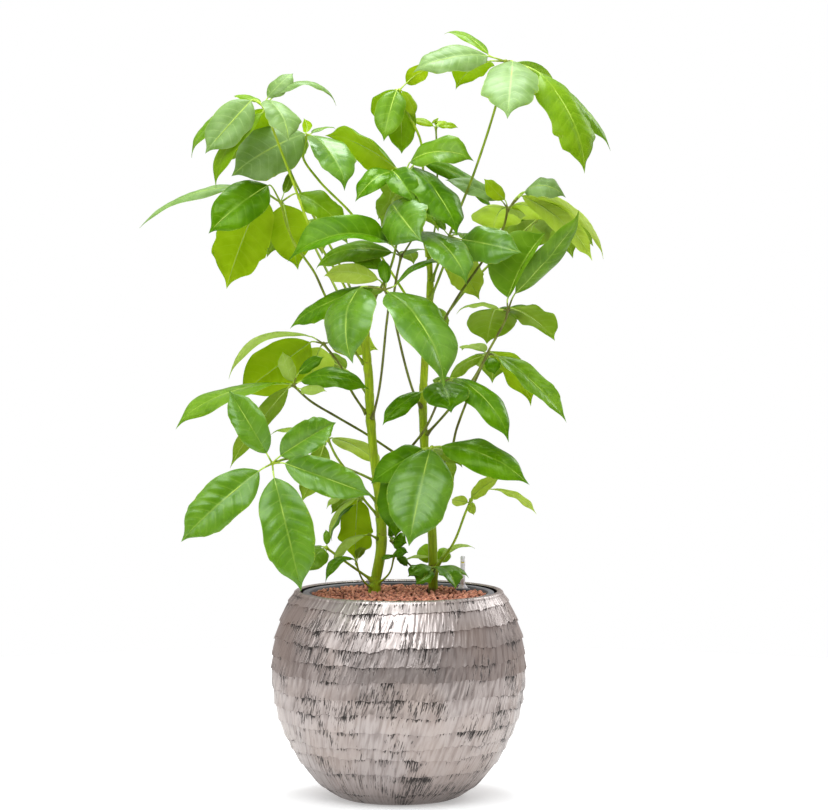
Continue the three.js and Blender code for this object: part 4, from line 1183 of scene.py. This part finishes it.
def buildPlanter():
    columns = planter["columns"]
    turn = turnsOf(columns)
    circle = circleOf(turn)
    outline = planterCurve(planter["outside"], 400)

    def grainAround(ring, size, height, seed):
        # noise round the planter, in cells of this size, at this height
        return grain(np.hstack([ring * 200 / size, np.full((columns, 1), height)]), seed)

    def ripple(size, height, seed):
        return grainAround(circle, size, height, seed) * 2 - 1

    edges = planter["lips"]
    lines = []
    for k, z in enumerate(edges):
        loose = 0 if k in (0, len(edges) - 1) else 1
        lines.append(z + loose * planter["wander"] * ripple(48, 3.3 * k, 1)
                     + loose * planter["teeth"] * ripple(6.5, 7.7 * k, 2)
                     + 0.5 * loose * planter["teeth"] * ripple(3.0, 5.1 * k, 3))
    rings, under, along = [], [], []

    def addRow(r, z, pit, at):
        height = np.broadcast_to(z, (columns,))
        rings.append(np.stack([circle[:, 0] * r, circle[:, 1] * r, height], axis=1))
        under.append(np.broadcast_to(pit, (columns,)))
        along.append(at)

    for k, r in enumerate(planter["under"]):
        addRow(r, 0.0, 0.0, k)
    for k in range(len(edges) - 1):
        last = k == len(edges) - 2
        tall = lines[k + 1] - lines[k]
        lean = planter["lean"] * (0.45 if last else 1 - 0.25 * (k == 0)) * (1 + 0.3 * ripple(60, 2.2 * k, 4))
        for t in planter["rows"]:
            z = lines[k] + tall * t
            shifted = circleOf(turn + planter["slant"] * (1 - t) ** 1.6 * tall / 200)
            fine = grainAround(shifted, 5.6, k * 9.1 + t * 0.8, 5)
            broad = grainAround(shifted, 11, k * 4.3, 6)
            stroke = (fine - 0.5) * 2 * planter["strokes"] + (broad - 0.5)
            fade = min(1, 0.35 + 0.65 * (1 - t)) * (0.5 if last else 1)
            inset = lean * (1 - (1 - t) ** 2) - stroke * fade
            outer = np.interp(z, outline[:, 1], outline[:, 0])
            addRow(outer - np.clip(inset, -0.6 if k else -0.3, 6), z, t, 3 + k + t)
    for r, z in planter["rim"]:
        addRow(r, z, 0.0, 17)
    inner = planterCurve([(r - planter["wall"], z) for r, z in planter["outside"][3:]], 24)[::-1]
    for r, z in inner[1:]:
        addRow(r, z, 0.0, 18)
    for r, z in planter["floor"]:
        addRow(r, z, 0.0, 19)
    skin = newSkin()
    addTube(skin, rings, 0, along)
    made = makeObject("planter_tooled", skin, [silverLeaf()], sharp=70)
    storeOnPoints(made, "underLip", under)
    finishPiece(made, "silver_leaf", "planter")


def silverLeaf():
    made, tree, shader, place = newMaterial("silverLeaf")
    parts = partsOf(tree, place)
    circle = vectorOf(tree, "NORMALIZE", vectorOf(tree, "MULTIPLY", place, (1, 1, 0)))
    turned = {"Vector": circle, "Angle": times(tree, parts["Z"], -1.35)}
    slanted = addNode(tree, "ShaderNodeVectorRotate", turned, rotation_type="Z_AXIS").outputs[0]
    rise = addNode(tree, "ShaderNodeCombineXYZ", {2: parts["Z"]}).outputs[0]
    wall = vectorOf(tree, "ADD", vectorOf(tree, "MULTIPLY", slanted, (0.2, 0.2, 0)), rise)

    def strokes(across, along, detail=2.0):
        return noiseOf(tree, stretched(tree, wall, (1 / across, 1 / across, 1 / along)), 1.0, detail)

    fine = strokes(0.0016, 0.024)
    broad = strokes(0.0062, 0.034, 1.0)
    dents = strokes(0.004, 0.005, 3.0)
    closeUnder = rangeOf(tree, attributeOf(tree, "underLip"), 0.55, 1.0)
    pits = plus(tree, strokes(0.0026, 0.014, 3.0), times(tree, closeUnder, 0.15))
    clusters = rangeOf(tree, noiseOf(tree, place, 20.0, 3.0), 0.35, 0.65, -0.12, 0.09)
    clusters = plus(tree, clusters, rangeOf(tree, parts["Z"], 0.11, 0.01, 0.0, 0.05))
    lines = rangeOf(tree, plus(tree, strokes(0.0022, 0.02, 3.0), clusters), 0.61, 0.69)
    black = rangeOf(tree, plus(tree, pits, clusters), 0.66, 0.76)
    patina = mathOf(tree, "MAXIMUM", black, times(tree, lines, 0.85))
    wash = rangeOf(tree, plus(tree, broad, times(tree, closeUnder, 0.1)), 0.4, 0.75)
    colour = mixColour(tree, wash, planter["silver"], planter["washed"])
    cloud = rangeOf(tree, noiseOf(tree, place, 9.0, 2.0), 0.4, 0.7, 0.0, 0.5)
    colour = mixColour(tree, cloud, colour, planter["warm"])
    # painted shade: the silver darkens towards the foot
    colour = mixColour(tree, rangeOf(tree, parts["Z"], 0.06, 0.005, 0.0, 0.6), colour, planter["foot"])
    relief = plus(tree, times(tree, fine, 0.14), times(tree, broad, 1.7))
    relief = plus(tree, relief, times(tree, dents, 0.14))
    relief = mathOf(tree, "SUBTRACT", relief, times(tree, patina, 0.6))
    fillSockets(tree, shader, {
        "Base Color": mixColour(tree, patina, colour, planter["patina"]),
        "Metallic": rangeOf(tree, patina, 0.0, 1.0, 0.96, 0.6),
        "Normal": bumpOf(tree, relief, 0.8, 0.0011),
        "Roughness": rangeOf(tree, plus(tree, dents, patina), 0.3, 1.2, 0.33, 0.55),
    })
    return made


buildPlanter()
print("planter done")


def plasticMaterial(name, fresh, worn, roughness):
    made, tree, shader, place = newMaterial(name)
    cloud = rangeOf(tree, noiseOf(tree, place, 60.0, 4.0), 0.35, 0.7)
    scuffs = noiseOf(tree, stretched(tree, place, (30, 30, 400)), 1.0, 3.0)
    fillSockets(tree, shader, {
        "Base Color": mixColour(tree, cloud, fresh, worn),
        "Normal": bumpOf(tree, noiseOf(tree, place, 1 / 0.0006, 2.0), 0.25, 0.0002),
        "Roughness": rangeOf(tree, scuffs, 0.3, 0.7, roughness - 0.08, roughness + 0.1),
    })
    return made


def buildTurned(name, node, slotName, profile, sides, material, centre=(0, 0), wobble=0.0):
    skin = newSkin()
    addTube(skin, turnedRings(profile, sides, centre, wobble), 0, np.arange(len(profile)))
    made = makeObject(name, skin, [material], sharp=40)
    finishPiece(made, slotName, node)


# The plastic insert stands inside the planter.
insert = {
    "profile": [(0.5, 8.3), (89, 8.3), (92, 10), (134, 110), (140.6, 303), (141, 309.6), (147.2, 312.2),
                (149.6, 314.2), (150, 316), (150, 319.4), (149.3, 321.2), (147.4, 322), (141.8, 322),
                (140, 321.3), (139.2, 319.6), (138.3, 308), (131, 110), (89, 11.3), (0.5, 11.3)],
    "sides": 144,
    "wobble": 0.25,
    "plastic": ((0.11, 0.11, 0.135), (0.16, 0.16, 0.185), 0.46),  # fresh, worn, roughness
}
buildTurned("insert_moulded", "insert", "slate_plastic", insert["profile"], insert["sides"],
            plasticMaterial("slatePlastic", *insert["plastic"]), wobble=insert["wobble"])
print("insert done")


# Expanded clay granules lie loose on a solid core.
granules = {
    "size": (4.8, 8.2),
    "layers": [  # count, height, level of detail, unevenness
        (1100, 310.9, 1, 0.8),
        (860, 316.6, 2, 1.3),
    ],
    "highest": 320.4,
    "edge": 136.2,
    "gauge": (101, 60),
    "gaugeClear": 13.6,
    "stemClear": 9.4,
    "core": [(0.5, 11.6), (88.7, 11.6), (130.7, 110), (137.4, 300), (136.5, 307.5), (110, 311), (60, 311.5),
             (0.5, 311.5)],
    "brick": ((0.33, 0.096, 0.06), (0.78, 0.33, 0.205)),  # darkest and lightest granule
    "dust": (0.78, 0.49, 0.39),
    "pores": (0.12, 0.035, 0.025),
    # the next colour is painted shade: the granules lying lower, and the core under them, turn to it
    "depth": (0.035, 0.012, 0.01),  # between the granules
}


def clayMaterial():
    # each granule has a place of its own in the map, which gives it a shade of its own
    made, tree, shader, place = newMaterial("firedClay")
    own = surfaceMap(tree)
    shade = addNode(tree, "ShaderNodeTexWhiteNoise", {"Vector": own}, noise_dimensions="2D").outputs
    colour = mixColour(tree, shade["Value"], *granules["brick"])
    dusty = rangeOf(tree, noiseOf(tree, place, 420.0, 3.0), 0.45, 0.75, 0.0, 0.6)
    colour = mixColour(tree, dusty, colour, granules["dust"])
    pores = addNode(tree, "ShaderNodeTexVoronoi", {"Vector": place, "Scale": 900.0}).outputs["Distance"]
    colour = mixColour(tree, rangeOf(tree, pores, 0.3, 0.08, 0.0, 0.75), colour, granules["pores"])
    # painted shade: towards the bottom the clay darkens to the colour between the granules, standing in for
    # the shade in the gaps
    clearOfPaintedShade = rangeOf(tree, partsOf(tree, place)["Z"], 0.3142, 0.3192)
    fillSockets(tree, shader, {
        "Base Color": mixColour(tree, clearOfPaintedShade, granules["depth"], colour),
        "Normal": bumpOf(tree, noiseOf(tree, place, 700.0, 4.0), 0.9, 0.001),
        "Roughness": 0.85,
        "Specular IOR Level": 0.2,
    })
    return made


def pelletShape(level):
    ball = bmesh.new()
    bmesh.ops.create_icosphere(ball, subdivisions=level, radius=1.0)
    points = np.array([v.co[:] for v in ball.verts])
    faces = np.array([[v.index for v in f.verts] for f in ball.faces])
    ball.free()
    return points, faces


def buildGranules():
    rng = np.random.default_rng(7)
    stemSpots = [stemPoint(name, 314)[:2] for name in stems]
    core = turnedRings(granules["core"], 96)
    skin = newSkin()
    addTube(skin, core, 0, np.zeros(len(core)), np.zeros(97))
    for count, level, detail, lift in granules["layers"]:
        # evenly spread by a golden-angle spiral, then jittered
        points, faces = pelletShape(detail)
        k = np.arange(count) + 0.5
        r = granules["edge"] * np.sqrt(k / count)
        a = k * math.pi * (3 - math.sqrt(5))
        spots = np.stack([r * np.cos(a), r * np.sin(a)], axis=1) + rng.normal(0, 1.2, (count, 2))
        for i, spot in enumerate(spots):
            size = rng.uniform(*granules["size"]) / 2
            edge = granules["edge"] - size * 0.6
            if np.hypot(*spot) > edge:
                spot = spot * edge / np.hypot(*spot)
            near = min(np.hypot(*(spot - s)) - granules["stemClear"] for s in stemSpots)
            near = min(near, np.hypot(*(spot - granules["gauge"])) - granules["gaugeClear"])
            if near < size:
                continue
            turned, _ = np.linalg.qr(rng.normal(size=(3, 3)))
            squash = np.array([1, rng.uniform(0.72, 1), rng.uniform(0.6, 0.95)])
            coarse = 0.34 * (grain(points * 1.7 + rng.uniform(0, 99, 3), i) - 0.5)
            fine = 0.2 * (grain(points * 3.6 + i, 3) - 0.5)
            body = (points * (1 + coarse + fine)[:, None] * squash * size) @ turned.T
            z = min(level + rng.normal(0, lift), granules["highest"] - body[:, 2].max())
            skin["points"].append(body + np.array([*spot, z]))
            skin["faces"].append((faces + skin["count"]).tolist())
            skin["maps"].append(np.tile(rng.uniform(0, 1, 2), (faces.size, 1)))
            skin["slots"].append(np.zeros(len(faces), dtype=int))
            skin["count"] += len(body)
    made = makeObject("granules_loose", skin, [clayMaterial()], sharp=75)
    finishPiece(made, "clay", "clay_granules")


buildGranules()
print("granules done")


# The water-level gauge is a body, a clear window and a float.
gauge = {
    "centre": granules["gauge"],
    "sides": 56,
    "body": [(0.3, 116), (9.4, 116), (10, 117), (10, 316), (11.6, 316.3), (12, 317), (12, 319.4),
             (11.3, 320.5), (10.2, 320.8), (4.6, 320.8), (4.2, 320.4), (2.7, 320), (2.7, 317.8),
             (8.5, 314.8), (8.5, 117.5), (0.3, 117.5)],
    "bodyPlastic": ((0.035, 0.038, 0.044), (0.07, 0.074, 0.08), 0.46),
    "window": [(2.7, 321.1), (7.7, 321.1), (8, 321.5), (7.9, 322.4), (6.6, 324), (5.0, 326), (4.1, 328.2),
               (3.7, 331), (3.7, 370), (3.4, 371.4), (2.4, 372), (0.3, 372), (0.3, 371), (2.2, 370.9),
               (2.7, 370.2)],
    "clear": ((0.95, 0.93, 0.98), (0.84, 0.82, 0.88)),
    "float": [(0.2, 117.8), (6.6, 117.8), (7, 118.4), (7, 165.6), (6.2, 166.4), (0.9, 169), (0.9, 330.2),
              (1.6, 330.8), (1.9, 331.4), (1.9, 334.8), (1.6, 335.4), (0.2, 335.4)],
    "floatPlastic": ((0.5, 0.02, 0.015), (0.62, 0.05, 0.03), 0.35),
    "marks": (347, 362),  # heights of the lines on the tube
    "markColour": (0.75, 0.6, 0.05),
}


def clearMaterial():
    made, tree, shader, place = newMaterial("clearTube")
    parts = partsOf(tree, place)
    cloud = rangeOf(tree, noiseOf(tree, place, 220.0, 3.0), 0.35, 0.7)
    tint = mixColour(tree, cloud, *gauge["clear"])
    middle = rangeOf(tree, awayFrom(tree, parts["X"], gauge["centre"][0] * mm), 0.0026, 0.002)
    marked = 0.0
    for height in gauge["marks"]:
        line = rangeOf(tree, awayFrom(tree, parts["Z"], height * mm), 0.0012, 0.0007)
        marked = mathOf(tree, "MAXIMUM", times(tree, line, middle), marked)
    scratches = noiseOf(tree, stretched(tree, place, (900, 900, 60)), 1.0, 2.0)
    fillSockets(tree, shader, {
        "Base Color": mixColour(tree, marked, tint, gauge["markColour"]),
        "Alpha": rangeOf(tree, marked, 0.0, 1.0, 0.62, 1.0),
        "Roughness": rangeOf(tree, scratches, 0.3, 0.7, 0.3, 0.45),
        "Specular IOR Level": 0.6,
    })
    return made


def buildGauge():
    bodySkin = plasticMaterial("gaugePlastic", *gauge["bodyPlastic"])
    floatSkin = plasticMaterial("gaugeRed", *gauge["floatPlastic"])
    for name, node, slotName, part, material in (
            ("gauge_body_moulded", "gauge_body", "gauge_dark", "body", bodySkin),
            ("gauge_window_clear", "gauge_window", "gauge_clear", "window", clearMaterial()),
            ("gauge_float_red", "gauge_float", "gauge_red", "float", floatSkin)):
        buildTurned(name, node, slotName, gauge[part], gauge["sides"], material, gauge["centre"])


buildGauge()
print("gauge done")


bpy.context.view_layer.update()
